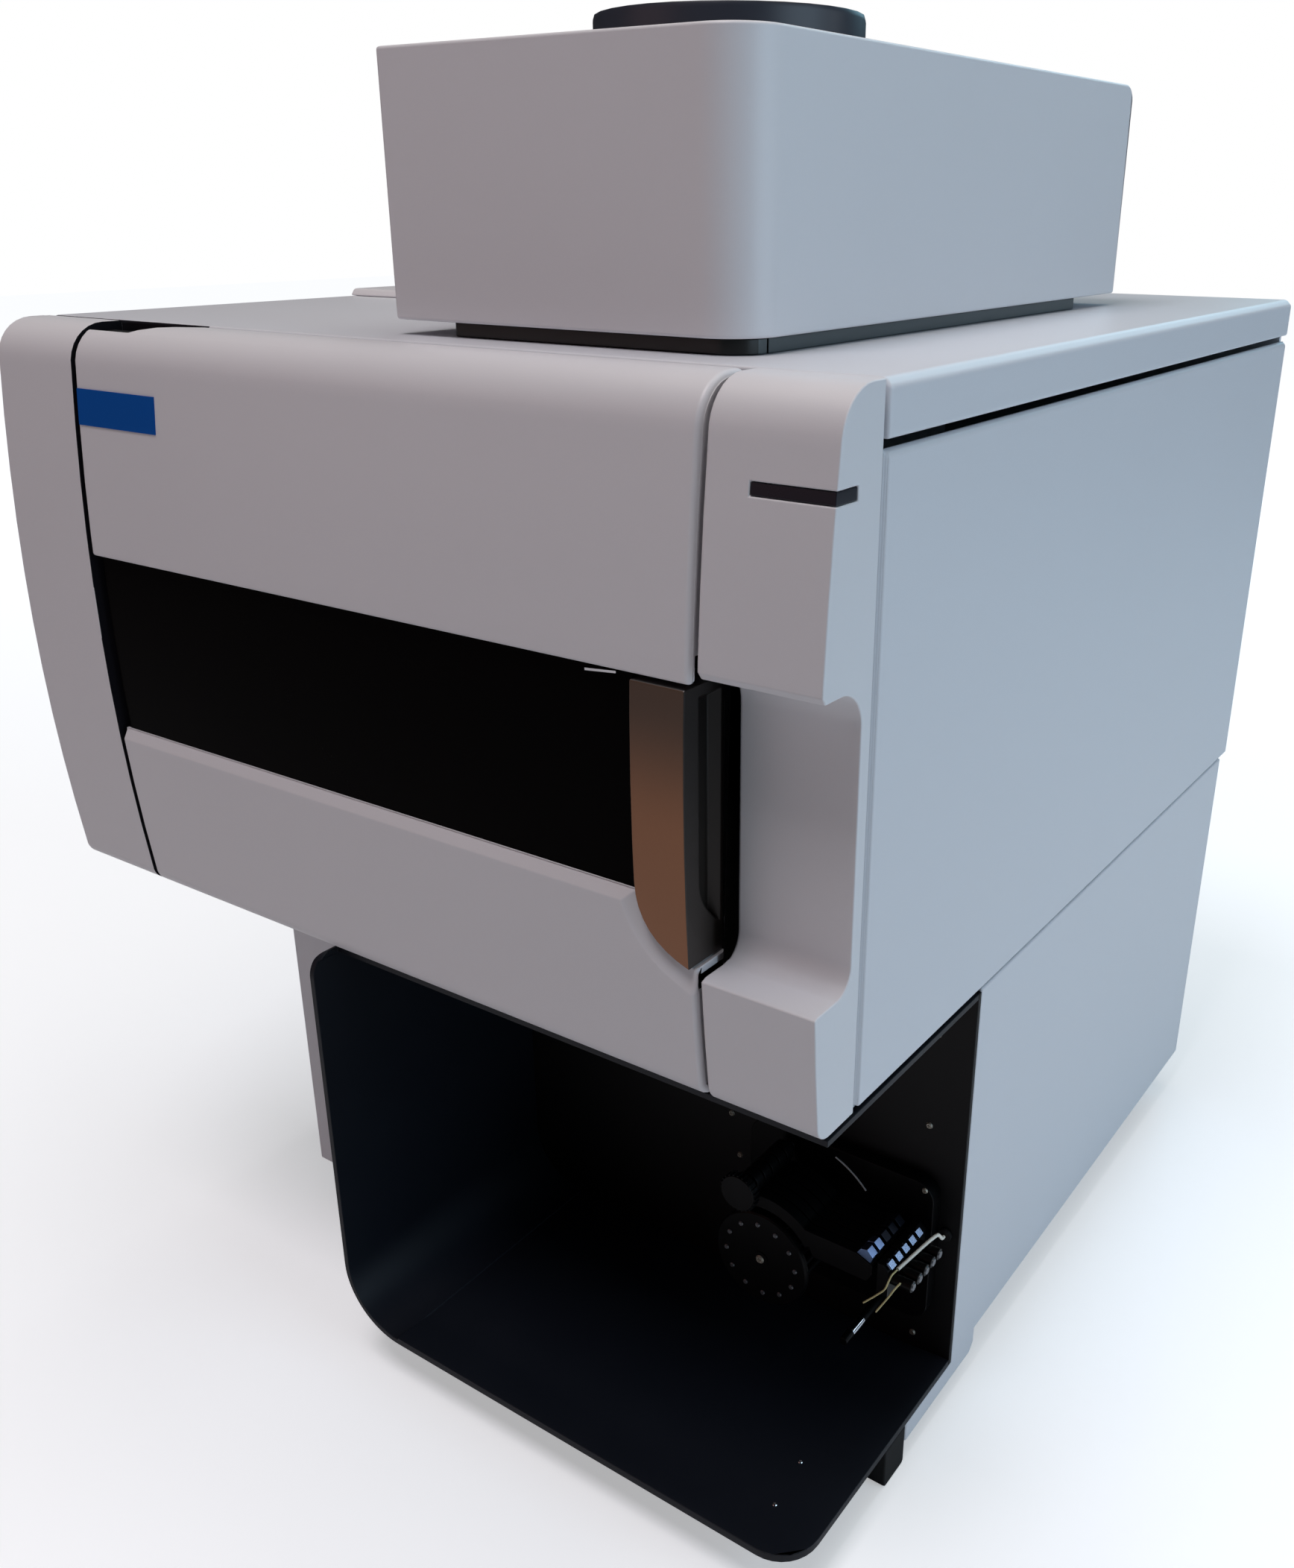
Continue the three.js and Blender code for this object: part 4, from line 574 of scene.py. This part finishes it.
# Door frame, hinges and seal
# The covers are screwed to a pressed steel pan with a black coat. Two steel arms with welded pins
# carry it at its left edge, so the door swings to the left and lifts off upwards. A black rubber
# seal on the flange of the torch compartment meets the pan.
frame_black = finish("frame_black", linear(14, 14, 16), 0.55, tone=0.2, gloss=0.2, mottle=12.0,
                     shine=0.3)
rubber_black = finish("rubber_black", linear(18, 18, 19), 0.74, tone=0.12, grain=800.0,
                      mottle=16.0, shine=0.3)
bare_steel = finish("bare_steel", linear(176, 180, 184), 0.30, metallic=0.95, tone=0.08,
                    gloss=0.2, grain=1200.0, mottle=20.0, stretch=(0.15, 1.0, 1.0))
door_pan = clad("door_frame", "door_pan", 0.0, "black_satin", frame_black, "door")
pan_right = 237.3
grip_zone = (430.0, 568.0)
split(door_pan, "Z", grip_zone)
flank(door_pan, cover_white, lambda normal, middle: normal.x > faces_right
      and middle.x > pan_right - near and not grip_zone[0] < middle.z < grip_zone[1])
for level in ("upper", "lower"):
    clad(f"hinge_arm_{level}", f"hinge_{level}", 0.3 * MM, "bare_steel", bare_steel)


def grown(name, tree, start, settings, body, slot, material):
    """A group of like pieces that a Geometry Nodes tree grows from a mesh, fitted to one body."""
    holder = bpy.data.objects.new(name + "_start", start)
    bpy.context.scene.collection.objects.link(holder)
    grower = holder.modifiers.new("grower", "NODES")
    grower.node_group = tree
    named = {**settings, "Finish": material}
    for item in tree.interface.items_tree:
        if item.name in named:
            grower[item.identifier] = named[item.name]
    graph = bpy.context.evaluated_depsgraph_get()
    mesh = bpy.data.meshes.new_from_object(holder.evaluated_get(graph), depsgraph=graph)
    bpy.data.objects.remove(holder)
    mesh.name = name
    piece = bpy.data.objects.new(name, mesh)
    bpy.context.scene.collection.objects.link(piece)
    return fitted(piece, body, slot, material)


def ended(tree, result, shape, material):
    """Ends a tree: makes its instances real and sets their material."""
    real = add(tree, "GeometryNodeRealizeInstances", {"Geometry": shape}).outputs["Geometry"]
    coated = add(tree, "GeometryNodeSetMaterial", {"Geometry": real, "Material": material})
    tree.links.new(coated.outputs["Geometry"], result["Geometry"])


head_sides = 20
top_share = 0.72
recess_length = 1.1
recess_width = 0.26


def screw_tree():
    """A cross recessed screw head on each point, all turned the same way."""
    tree, given, result = new_group("GeometryNodeTree", "screw_heads", [
        ("Geometry", "NodeSocketGeometry", None),
        ("Head Radius", "NodeSocketFloat", 0.003),
        ("Head Height", "NodeSocketFloat", 0.0014),
        ("Turn", "NodeSocketVector", (0.0, 0.0, 0.0)),
        ("Finish", "NodeSocketMaterial", None)], [("Geometry", "NodeSocketGeometry")])
    radius = given["Head Radius"]
    height = given["Head Height"]
    head = add(tree, "GeometryNodeMeshCone", {
        "Vertices": head_sides, "Radius Top": sums(tree, "MULTIPLY", radius, top_share),
        "Radius Bottom": radius, "Depth": height}).outputs["Mesh"]
    long_side = sums(tree, "MULTIPLY", radius, recess_length)
    short_side = sums(tree, "MULTIPLY", radius, recess_width)
    cut = add(tree, "GeometryNodeMeshBoolean", {"Mesh 1": head}, operation="DIFFERENCE")
    lift = add(tree, "ShaderNodeCombineXYZ", {"Z": height}).outputs["Vector"]
    for sides in ((long_side, short_side), (short_side, long_side)):
        size = add(tree, "ShaderNodeCombineXYZ", {"X": sides[0], "Y": sides[1], "Z": height})
        bar = add(tree, "GeometryNodeMeshCube", {"Size": size.outputs["Vector"]}).outputs["Mesh"]
        lifted = add(tree, "GeometryNodeTransform", {"Geometry": bar, "Translation": lift})
        tree.links.new(lifted.outputs["Geometry"], cut.inputs["Mesh 2"])
    turn = add(tree, "FunctionNodeEulerToRotation", {"Euler": given["Turn"]}).outputs["Rotation"]
    points = add(tree, "GeometryNodeMeshToPoints", {"Mesh": given["Geometry"]}).outputs["Points"]
    placed = add(tree, "GeometryNodeInstanceOnPoints", {
        "Points": points, "Instance": cut.outputs["Mesh"], "Rotation": turn})
    ended(tree, result, placed.outputs["Instances"], given["Finish"])
    return tree


screw_heads = screw_tree()
quarter = math.pi / 2
facing = {"front": (quarter, 0.0, 0.0), "back": (-quarter, 0.0, 0.0), "up": (0.0, 0.0, 0.0)}


def screws(name, places, side, radius, height, material, body="base"):
    """A group of like screw heads on one body, at places and with sizes in millimetres."""
    spots = bpy.data.meshes.new("spots")
    spots.from_pydata([Vector(place) * MM for place in places], [], [])
    sizes = {"Head Radius": radius * MM, "Head Height": height * MM, "Turn": facing[side]}
    grown(name, screw_heads, spots, sizes, body, "bare_steel", material)


screw_steel = finish("screw_steel", linear(150, 152, 156), 0.34, metallic=0.9, tone=0.1,
                     grain=1500.0)
pan_face = -330.0
pan_screws = [(x, pan_face, z) for z in (345, 432, 585, 690) for x in (-150, -40, 70, 180)
              if not (z in (432, 585) and x == 180)]
screws("pan_screws", pan_screws, "back", 3.4, 1.6, screw_steel, "door")
seal_left, seal_right = -246.0, 257.5
seal_foot, seal_top = 336.0, 677.5
seal_width = 8.0
seal_rear = -319.7
seal_front = -321.2
seal_edge = 0.5
seal = bmesh.new()
seal_loops = []
for inset, at in ((0.0, seal_rear), (0.0, seal_front + seal_edge), (seal_edge, seal_front),
                  (seal_width - seal_edge, seal_front), (seal_width, seal_front + seal_edge),
                  (seal_width, seal_rear)):
    left, right = seal_left + inset, seal_right - inset
    low, high = seal_foot + inset, seal_top - inset
    seal_loops.append([seal.verts.new(Vector((x, at, z)) * MM)
                       for x, z in ((left, low), (right, low), (right, high), (left, high))])
for ring, following in zip(seal_loops, seal_loops[1:] + seal_loops[:1]):
    for corner in range(4):
        after = (corner + 1) % 4
        seal.faces.new((ring[corner], ring[after], following[after], following[corner]))
bmesh.ops.recalc_face_normals(seal, faces=seal.faces)
fitted(shaded(seal, "door_seal"), "base", "black_rubber", rubber_black)


# Sample bay
# One deep drawn black moulding makes the ceiling, the left wall and the tray, and a flat black
# plate closes the back. Spilled acid can't harm the satin surface. The faint blue sheen is painted
# into its colour, a black tinted blue.
# Painted sheen: the liner's black is tinted blue.
liner_black_painted_sheen = finish("liner_black_painted_sheen", linear(19, 23, 31), 0.42, tone=0.22, gloss=0.22,
                     grain=1000.0, mottle=11.0, depth=0.025 * MM, shine=0.22)
wall_black = finish("wall_black", linear(9, 9, 11), 0.52, tone=0.18, gloss=0.15, mottle=8.0,
                    shine=0.25)
screw_dark = finish("screw_dark", linear(168, 164, 152), 0.45, metallic=0.7, tone=0.15,
                    grain=1500.0)
clad("sample_bay_liner", "bay_liner", 0.4 * MM, "black_satin", liner_black_painted_sheen)
clad("sample_bay_back_wall", "bay_wall", 0.6 * MM, "black_satin", wall_black)
wall_face = -166.7
wall_spots = [(285.6, 220.4), (283.6, 47.0), (287.3, 289.9), (130.6, 168.6), (138.1, 135.4)]
tray_spots = [(272.5, -297.3, 35.0), (276.5, -334.0, 35.0)]
screws("wall_screws", [(x, wall_face, z) for x, z in wall_spots], "front", 2.4, 1.1, screw_dark)
screws("tray_screws", tray_spots, "up", 1.6, 0.5, clip_bright)


# Peristaltic pump
# A black moulded body with a turning roller head, five spring loaded pressure clamps on a common
# pivot rod, and a fixed rail with one adjusting screw for each channel. Steel pins hold the
# rollers. The tabs of the first two clamps are painted bright bluish steel as painted highlights
# and the other tabs dark steel as painted shade; the rail caps are tinted blue as a painted
# reflection, and a pale arc on the guard's rim is a painted highlight.
pump_black = finish("pump_black", linear(4, 4, 5), 0.36, tone=0.2, gloss=0.2, grain=1300.0,
                    mottle=30.0, shine=0.14)
polished = finish("polished", linear(205, 212, 222), 0.16, metallic=1.0, tone=0.04, gloss=0.05,
                  grain=1500.0, stretch=(1.0, 0.2, 1.0))
pin_grey = finish("pin_grey", linear(120, 122, 126), 0.35, metallic=0.85, tone=0.1, grain=1500.0)
# Painted highlight: bright bluish steel for the tabs that glint; painted shade: dark steel for the
# others.
tab_painted_glint = finish("tab_painted_glint", linear(126, 150, 192), 0.28, metallic=1.0, tone=0.06,
                   grain=1500.0)
tab_painted_shade = finish("tab_painted_shade", linear(24, 28, 38), 0.34, metallic=0.8, tone=0.06, grain=1500.0)
# Painted reflection: the steel of the rail caps is tinted blue, for their bluish glints.
cap_steel_painted_glint = finish("cap_steel_painted_glint", linear(150, 172, 205), 0.26, metallic=1.0, grain=1500.0)
# Painted highlight: a pale colour for the stretch of the guard's rim that glints.
rim_painted_glint = finish("rim_painted_glint", linear(225, 225, 225), 0.45, metallic=0.2, grain=1500.0)
clad("pump_body", "pump_plate", 0.5 * MM, "black_satin", pump_black)
pump_x = 199.5
pump_z = 117.0
head_front = -234.5
head_rear = -180.0
shaft_rear = -170.3
shaft_radius = 6
core_radius = 20
disc_radius = 36
disc_thickness = 4.0


def lathed(profile, centre, steps):
    """A closed round form on an axis from front to back, from pairs of radius and place."""
    form = bmesh.new()
    rings = []
    for radius, at in profile:
        turns = [math.tau * step / steps for step in range(steps if radius else 1)]
        rings.append([form.verts.new(Vector((centre[0] + radius * math.cos(turn), at,
                                             centre[1] + radius * math.sin(turn))) * MM)
                      for turn in turns])
    for ring, following in zip(rings, rings[1:]):
        for step in range(steps):
            after = (step + 1) % steps
            corners = (ring[step % len(ring)], ring[after % len(ring)],
                       following[after % len(following)], following[step % len(following)])
            form.faces.new(list(dict.fromkeys(corners)))
    bmesh.ops.recalc_face_normals(form, faces=form.faces)
    return form


def meshed(form):
    """A form as a plain mesh, for a tree to start from."""
    mesh = bpy.data.meshes.new("start")
    form.to_mesh(mesh)
    form.free()
    return mesh


def circle_tree():
    """Copies of a part that lies round the origin, turned about an axis from front to back."""
    tree, given, result = new_group("GeometryNodeTree", "copies_round_an_axis", [
        ("Geometry", "NodeSocketGeometry", None),
        ("Count", "NodeSocketInt", 12),
        ("First Turn", "NodeSocketFloat", 0.0),
        ("Centre", "NodeSocketVector", (0.0, 0.0, 0.0)),
        ("Finish", "NodeSocketMaterial", None)], [("Geometry", "NodeSocketGeometry")])
    line = add(tree, "GeometryNodeMeshLine", {"Count": given["Count"], "Offset": (0.0, 0.0, 0.0)})
    points = add(tree, "GeometryNodeMeshToPoints", {"Mesh": line.outputs["Mesh"]})
    step = sums(tree, "DIVIDE", -math.tau, given["Count"])
    index = add(tree, "GeometryNodeInputIndex").outputs["Index"]
    turn = sums(tree, "MULTIPLY_ADD", index, step,
                sums(tree, "MULTIPLY", given["First Turn"], -1.0))
    euler = add(tree, "ShaderNodeCombineXYZ", {"Y": turn}).outputs["Vector"]
    rotation = add(tree, "FunctionNodeEulerToRotation", {"Euler": euler}).outputs["Rotation"]
    placed = add(tree, "GeometryNodeInstanceOnPoints", {
        "Points": points.outputs["Points"], "Instance": given["Geometry"], "Rotation": rotation})
    centred = add(tree, "GeometryNodeTransform", {
        "Geometry": placed.outputs["Instances"], "Translation": given["Centre"]})
    ended(tree, result, centred.outputs["Geometry"], given["Finish"])
    return tree


copies_round = circle_tree()
roller_circle = 27.4
roller_radius = 3
roller_inset = 2
head_circle = {"Count": 12, "First Turn": math.radians(5.0),
               "Centre": Vector((pump_x, 0.0, pump_z)) * MM}
head_profile = [
    (0, head_front), (shaft_radius, head_front), (shaft_radius, head_front + 0.6),
    (disc_radius - 1.2, head_front + 0.6), (disc_radius, head_front + 1.6),
    (disc_radius, head_front + disc_thickness), (core_radius, head_front + disc_thickness),
    (core_radius, head_rear - disc_thickness), (disc_radius, head_rear - disc_thickness),
    (disc_radius, head_rear - 0.8), (disc_radius - 0.8, head_rear), (shaft_radius, head_rear),
    (shaft_radius, shaft_rear), (0, shaft_rear)]
fitted(shaded(lathed(head_profile, (pump_x, pump_z), 64), "roller_head", 35.0), "pump_head",
       "black_satin", pump_black, "pump_head")
roller_front, roller_rear = head_front + roller_inset, head_rear - roller_inset
roller_profile = [(0, roller_front), (roller_radius, roller_front), (roller_radius, roller_rear),
                  (0, roller_rear)]
grown("head_rollers", copies_round, meshed(lathed(roller_profile, (roller_circle, 0.0), 16)),
      head_circle, "pump_head", "black_satin", pump_black)
pin_profile = [(0, head_front - 0.4), (1.3, head_front - 0.4), (1.8, head_front + 0.1),
               (1.8, roller_front), (0, roller_front)]
grown("roller_pins", copies_round, meshed(lathed(pin_profile, (roller_circle, 0.0), 16)),
      head_circle, "pump_head", "bare_steel", pin_grey)
screws("head_screw", [(pump_x, head_front, pump_z)], "front", 3.2, 1.0, screw_dark, "pump_head")
knob_x, knob_z = 186.5, 171.0
knob_front, knob_rear = -242.9, -237.1
knob_circle = {"Count": 24, "First Turn": 0.0, "Centre": Vector((knob_x, 0.0, knob_z)) * MM}
knob_rib = [(12.2, -0.9), (13.9, -0.5), (13.9, 0.5), (12.2, 0.9)]
grown("knob_ribs", copies_round, meshed(extruded(knob_rib, knob_front, knob_rear)), knob_circle,
      "base", "black_satin", pump_black)
latch_x, latch_z = 265.5, 81.0
latch_profile = [(0, -224.6), (2.9, -224.6), (3.2, -224.2), (3.2, -210.0), (0, -210.0)]
fitted(shaded(lathed(latch_profile, (latch_x, latch_z), 24), "latch_sleeve"), "base",
       "bare_steel", polished)
screws("plate_screw", [(290.8, -178.0, 177.9)], "front", 2.1, 1.0, screw_dark)
rim_steps = 14
rim_radius = 64.0
rim_half = 0.35
rim_front, rim_rear = -178.8, -177.9
rim_from = math.radians(41.0)
rim_to = math.radians(68.0)
rim_line = [rim_from + (rim_to - rim_from) * step / rim_steps for step in range(rim_steps + 1)]
rim_profile = [(pump_x + radius * math.cos(turn), pump_z + radius * math.sin(turn))
               for radius, line in ((rim_radius - rim_half, rim_line),
                                    (rim_radius + rim_half, rim_line[::-1])) for turn in line]
# Painted highlight: the pale arc is built only over the stretch of the rim that glints.
fitted(shaded(extruded(rim_profile, rim_front, rim_rear), "guard_rim_glint"), "base", "bare_steel",
       rim_painted_glint)
clad("screw_rail", "clamp_rail", 0.3 * MM, "black_satin", pump_black)
sharp_turn = math.radians(30.0)


def rounded(form, radius):
    """Rounds the sharp edges of a form that a section builds, to a radius in metres."""
    sharp = [edge for edge in form.edges if edge.calc_face_angle(0.0) > sharp_turn]
    bmesh.ops.bevel(form, geom=sharp, offset=radius, offset_type="OFFSET", segments=2,
                    profile=0.5, affect="EDGES")
    return form


def row_tree():
    """Copies of a part in rows: the part lies in its first place and is repeated by two steps."""
    tree, given, result = new_group("GeometryNodeTree", "copies_in_rows", [
        ("Geometry", "NodeSocketGeometry", None),
        ("Count", "NodeSocketInt", 5),
        ("Step", "NodeSocketVector", (0.0, 0.0, 0.0)),
        ("Rows", "NodeSocketInt", 1),
        ("Row Step", "NodeSocketVector", (0.0, 0.0, 0.0)),
        ("Finish", "NodeSocketMaterial", None)], [("Geometry", "NodeSocketGeometry")])
    placed = given["Geometry"]
    for count, step in (("Count", "Step"), ("Rows", "Row Step")):
        line = add(tree, "GeometryNodeMeshLine", {"Count": given[count], "Offset": given[step]})
        points = add(tree, "GeometryNodeMeshToPoints", {"Mesh": line.outputs["Mesh"]})
        placed = add(tree, "GeometryNodeInstanceOnPoints", {
            "Points": points.outputs["Points"], "Instance": placed}).outputs["Instances"]
    ended(tree, result, placed, given["Finish"])
    return tree


def dress(node, material):
    """Gives a node that shows as it is its material."""
    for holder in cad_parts[node].material_slots:
        holder.material = material


copies_in_rows = row_tree()
channels = 5
channel_pitch = 9.3
channel_first = -225.85
channel_row = {"Count": channels, "Step": Vector((0.0, channel_pitch, 0.0)) * MM}
cap_half = 2.9
cap_profile = [(291.1, 152.8), (294.0, 150.0), (295.6, 151.0), (292.1, 154.6), (291.1, 154.4)]
rail_cap = rounded(extruded(cap_profile, channel_first - cap_half, channel_first + cap_half),
                   0.2 * MM)
grown("rail_caps", copies_in_rows, meshed(rail_cap), channel_row, "base", "bare_steel", cap_steel_painted_glint)
screw_end_place = Matrix.Translation(Vector((309.4, channel_first, 142.0)) * MM)
screw_end = bmesh.new()
bmesh.ops.create_cone(screw_end, cap_ends=True, segments=24, radius1=2.8 * MM, radius2=2.4 * MM,
                      depth=1.0 * MM, matrix=screw_end_place @ Matrix.Rotation(quarter, 4, "Y"))
grown("screw_ends", copies_in_rows, meshed(screw_end), channel_row, "base", "bare_steel",
      pin_grey)
tab_half = 3.3
tab_profile = [(269.5, 152.6), (279.9, 148.6), (281.6, 153.6), (277.0, 158.0), (272.5, 157.0)]
# Painted highlight: the clamps whose tabs glint get the bright steel, the rest the dark one.
glinting_channels = (1, 2)
for channel in range(1, channels + 1):
    clamp = f"pump_clamp_{channel}"
    clad(clamp, f"clamp_arm_{channel}", 0.3 * MM, "black_satin", pump_black, clamp)
    middle = channel_first + channel_pitch * (channel - 1)
    tab = rounded(extruded(tab_profile, middle - tab_half, middle + tab_half), 0.3 * MM)
    fitted(shaded(tab, f"clamp_tab_{channel}"), clamp, "bare_steel",
           tab_painted_glint if channel in glinting_channels else tab_painted_shade)
dress("tube_grommet", rubber_black)


# Rear panels
# Two sheets of coated steel close the back. Pressed louvres let the warm air out, a framed foam
# filter cleans the cooling air, and pan head screws hold the sheets to the chassis.
clad("upper_rear_panel", "rear_sheet_upper", 0.6 * MM, "white_paint", panel_white)
clad("lower_rear_panel", "rear_sheet_lower", 0.6 * MM, "white_paint", panel_white)
clad("air_filter_frame", "filter_frame", 0.8 * MM, "dark_grey", plinth_dark)
hood_left, hood_right = -249.2, -167.2
hood_profile = [(336.5, 631.6), (338.9, 630.9), (341.0, 628.6), (341.6, 625.8), (340.9, 625.5),
                (340.2, 628.0), (338.4, 629.9), (336.5, 630.4)]
hood_rows = {"Count": 2, "Step": Vector((95.0, 0.0, 0.0)) * MM,
             "Rows": 9, "Row Step": Vector((0.0, 0.0, -14.0)) * MM}
louvre = extruded(hood_profile, hood_left, hood_right, "X")
grown("louvre_hoods", copies_in_rows, meshed(louvre), hood_rows, "base", "white_paint",
      panel_white)
filter_foam = finish("filter_foam", linear(26, 27, 29), 0.9, tone=0.5, gloss=0.05, grain=700.0,
                     mottle=260.0, depth=0.6 * MM, shine=0.1)
zinc = finish("zinc", linear(158, 163, 168), 0.42, metallic=0.85, tone=0.14, gloss=0.25,
              grain=500.0, mottle=45.0)


def upright(left, right, low, high):
    """The profile of a plain upright block, by its sides and its two heights."""
    return [(left, low), (right, low), (right, high), (left, high)]


mat_low, mat_high = 453.4, 614.8
mat_inner, mat_outer = 338.0, 346.0
wire_inner, wire_outer = 346.6, 347.8
filter_mat = rounded(extruded(upright(62.5, 233.9, mat_low, mat_high), mat_inner, mat_outer),
                     1.0 * MM)
fitted(shaded(filter_mat, "filter_mat"), "base", "black_rubber", filter_foam)
filter_wire = extruded(upright(65.7, 66.9, mat_low, mat_high), wire_inner, wire_outer)
grown("filter_wires", copies_in_rows, meshed(filter_wire),
      {"Count": 22, "Step": Vector((7.9, 0.0, 0.0)) * MM}, "base", "zinc_steel", zinc)
rear_face = 337.0
rear_spots = [(x, rear_face, z) for z in (343, 510, 668) for x in (-298, 298)] + [
    (x, rear_face, z) for z in (343, 668) for x in (-100, 100)]
screws("rear_screws", rear_spots, "back", 3.6, 1.8, screw_steel)
lower_face = 316.7
lower_spots = [(x, lower_face, z) for z in (46, 317) for x in (-208, -35, 140, 297)]
screws("lower_rear_screws", lower_spots, "back", 3.6, 1.8, screw_steel)


# Mains inlet, gas and water ports
# The inlet is a black moulded socket with three flat pins. Four brass ports in one block take
# argon, purge gas and cooling water, each with a hexagon nut and a ribbed hose end.
clad("mains_inlet", "inlet_socket", 0.8 * MM, "black_rubber", rubber_black)
brass = finish("brass", linear(190, 160, 92), 0.32, metallic=1.0, tone=0.10, mottle=30.0)
inlet_pin = Matrix.Diagonal(Vector((2.0, 9.0, 4.6)) * MM).to_4x4()
inlet_pins = bmesh.new()
for x, z in ((189.0, 108.0), (207.4, 108.0), (198.2, 97.0)):
    pin_place = Matrix.Translation(Vector((x, 326.0, z)) * MM)
    bmesh.ops.create_cube(inlet_pins, size=1.0, matrix=pin_place @ inlet_pin)
fitted(shaded(rounded(inlet_pins, 0.3 * MM), "inlet_pins"), "base", "brass", brass)
clad("gas_and_water_ports", "port_block", 0.5 * MM, "brass", brass)
port_x, port_z = -40.2, 154.0
port_row = {"Count": 4, "Step": Vector((34.0, 0.0, 0.0)) * MM}
nut_radius = 9.6
nut_inner, nut_outer = 329.2, 335.0
hexagon = [(port_x + nut_radius * math.cos(math.tau * corner / 6),
            port_z + nut_radius * math.sin(math.tau * corner / 6)) for corner in range(6)]
port_nut = rounded(extruded(hexagon, nut_inner, nut_outer), 0.4 * MM)
grown("port_nuts", copies_in_rows, meshed(port_nut), port_row, "base", "brass", brass)
rib_pitch = 3
rib_profile = [(0, 339.0)]
for rib in range(4):
    rib_profile += [(6.2, 339.2 + rib_pitch * rib), (5.1, 341.8 + rib_pitch * rib)]
rib_profile += [(0, 351.2)]
port_rib = lathed(rib_profile, (port_x, port_z), 24)
grown("port_ribs", copies_in_rows, meshed(port_rib), port_row, "base", "brass", brass)


# Torch compartment and what stands in it
# A folded steel box holds the quartz torch in its copper coil below the cone of the optics. The
# ceramic loader lifts the torch, the spray chamber and the nebulizer hang below, and a lever
# locks the loader.
quartz = finish("quartz", linear(226, 234, 238), 0.12, tone=0.03, coat=0.6)
copper = finish("copper", linear(201, 122, 82), 0.28, metallic=1.0, tone=0.12, mottle=40.0)
ceramic = finish("ceramic", linear(224, 219, 205), 0.55, mottle=25.0)
clad("plasma_torch", "torch_tube", 0.3 * MM, "quartz", quartz)
clad("load_coil", "coil_winding", 0.0, "copper", copper, turn=70.0)
clad("cone_interface", "cone_block", 0.8 * MM, "bare_steel", bare_steel)
clad("torch_loader", "loader_block", 0.8 * MM, "ceramic", ceramic)
# The lever takes the handle's bronze with its painted shade by height.
clad("torch_lever", "loader_lever", 0.6 * MM, "bronze_trim", handle_bronze_painted_shade, "torch_lever")
clad("spray_chamber", "spray_bulb", 0.3 * MM, "quartz", quartz, turn=50.0)
clad("nebulizer", "nebulizer_tube", 0.2 * MM, "quartz", quartz)
clad("torch_compartment", "torch_box", 0.8 * MM, "zinc_steel", zinc)


# Chassis, power modules and feet
# Folded and zinc plated sheet carries the modules, which stand on the deck between the two
# halves of the cabinet and on the base pan. Four moulded rubber feet carry the instrument.
for foot in ("front_right", "front_left", "rear_right", "rear_left"):
    clad(f"foot_{foot}", f"rubber_foot_{foot}", 1.2 * MM, "black_rubber", rubber_black)
for node in ("module_deck", "base_pan", "frame_upright_left", "frame_upright_right",
             "rf_generator", "power_supply", "pump_motor"):
    dress(node, zinc)
dress("optics_enclosure", bare_steel)
